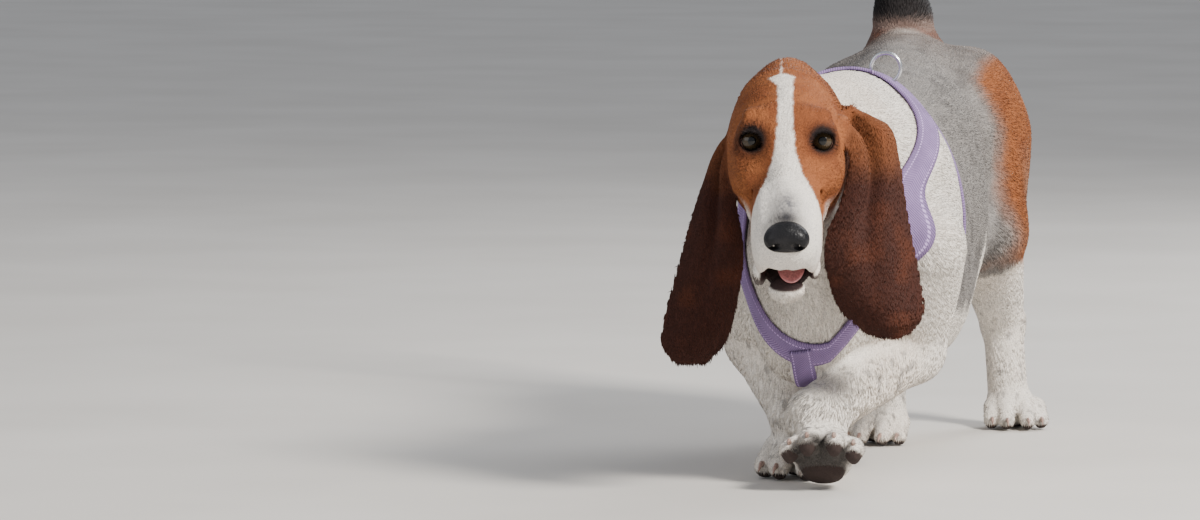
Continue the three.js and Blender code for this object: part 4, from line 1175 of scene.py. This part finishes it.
EYE_FINISH = eye_material()
for eye_name in SIDES:
    eye_piece(eye_name)

# Nose and tongue
nose = new_piece("nose_leather", *small_mesh(NOSE, 0.7), nose_material())
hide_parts("nose")
TONGUE_FINISH = plain_material("tongue_wet", (0.50, 0.17, 0.17), 0.3, coat=0.5, scale=500)
tongue = new_piece("tongue_flesh", *small_mesh([*TONGUE, *TONGUE_GROOVE], 0.9), TONGUE_FINISH)
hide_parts("tongue")

# Claws
CLAW_FINISH = plain_material("claw_horn", (0.34, 0.22, 0.18), 0.35, coat=0.2, scale=400)


def claws():
    points, faces = [], []
    sides = 10
    for foot, size in FEET.values():
        for x in TOES:
            outer = abs(x) > 20
            start = np.array([x, -50 if outer else -63, 14]) * size
            bends = [(0, 0, 3.4), (-5, 0.5, 3.0), (-9.5, -1.5, 2.1), (-13, -5, 0.9)]
            first = len(points)
            for dy, dz, r in bends:
                centre = start + np.array([0, dy, dz]) * size
                for n in range(sides):
                    angle = 2 * math.pi * n / sides
                    local = centre + np.array([math.cos(angle) * r * 0.75, 0, math.sin(angle) * r]) * size
                    points.append(at(foot, local))
            for ring in range(len(bends) - 1):
                for n in range(sides):
                    i, j = first + ring * sides + n, first + ring * sides + (n + 1) % sides
                    faces += [[i, i + sides, j + sides], [i, j + sides, j]]
            top, tip = len(points), len(points) + 1
            points.append(at(foot, start))
            points.append(at(foot, start + np.array([0, -14.2, -7]) * size))
            for n in range(sides):
                i, j = first + n, first + (n + 1) % sides
                faces.append([top, i, j])
                k = (len(bends) - 1) * sides
                faces.append([tip, j + k, i + k])
    points = np.array(points)
    points[:, 2] = np.maximum(points[:, 2], 0.6)
    piece = new_piece("claws", points, np.array(faces), CLAW_FINISH, True, 3)


claws()

# Camera, light and floor
CAMERA_AZIMUTH, CAMERA_RISE = math.radians(10), math.radians(4.4)
CAMERA_AWAY = 7000
PIXELS_A_MM = 1.038
FRAME_WIDTH, FRAME_HEIGHT = 1200, 520
STANDPOINT_PIXEL = (868, 454)
SENSOR = 36


def camera():
    right = np.array([math.cos(CAMERA_AZIMUTH), math.sin(CAMERA_AZIMUTH), 0])
    back = np.array([
        math.sin(CAMERA_AZIMUTH) * math.cos(CAMERA_RISE),
        -math.cos(CAMERA_AZIMUTH) * math.cos(CAMERA_RISE),
        math.sin(CAMERA_RISE),
    ])
    up = np.cross(back, right)
    off = (STANDPOINT_PIXEL[0] - FRAME_WIDTH / 2, STANDPOINT_PIXEL[1] - FRAME_HEIGHT / 2)
    centre = back * CAMERA_AWAY - right * off[0] / PIXELS_A_MM + up * off[1] / PIXELS_A_MM
    data = bpy.data.cameras.new("camera")
    data.sensor_width = SENSOR
    data.lens = PIXELS_A_MM * CAMERA_AWAY / FRAME_WIDTH * SENSOR
    data.clip_end = 100
    holder = bpy.data.objects.new("camera", data)
    turn = Matrix((right, up, back)).transposed().to_4x4()
    holder.matrix_world = Matrix.Translation(to_row(centre)) @ turn
    bpy.context.scene.collection.objects.link(holder)
    bpy.context.scene.camera = holder


def area_light(name, position, size, power, tone=(1, 1, 1)):
    data = bpy.data.lights.new(name, "AREA")
    data.size, data.energy, data.color = size, power, tone
    lamp = bpy.data.objects.new(name, data)
    lamp.location = position
    lamp.rotation_euler = (Vector((0, 0, 0.25)) - Vector(position)).to_track_quat("-Z", "Y").to_euler()
    bpy.context.scene.collection.objects.link(lamp)


def studio():
    world = bpy.data.worlds.new("studio")
    world.use_nodes = True
    world.node_tree.nodes["Background"].inputs["Color"].default_value = (0.86, 0.91, 1.0, 1)
    world.node_tree.nodes["Background"].inputs["Strength"].default_value = 0.5
    bpy.context.scene.world = world
    area_light("key", (2.6, -1.9, 2.6), 0.9, 300, (1.0, 0.96, 0.9))
    area_light("fill", (-2.4, -2.6, 1.4), 2.5, 26)
    area_light("rim", (1.2, 2.6, 2.2), 1.6, 70)
    n = Nodes("studio_floor")
    tone = n.ramp(n.noise(3, 2), [(0.3, (0.60, 0.57, 0.53)), (0.7, (0.66, 0.63, 0.59))])
    finish = n.finish(Base_Color=tone, Roughness=0.9)
    bpy.ops.mesh.primitive_plane_add(size=90, location=(0, 0, 0))
    floor = bpy.context.object
    floor.name = "floor"
    floor.data.materials.append(finish)


camera()
studio()
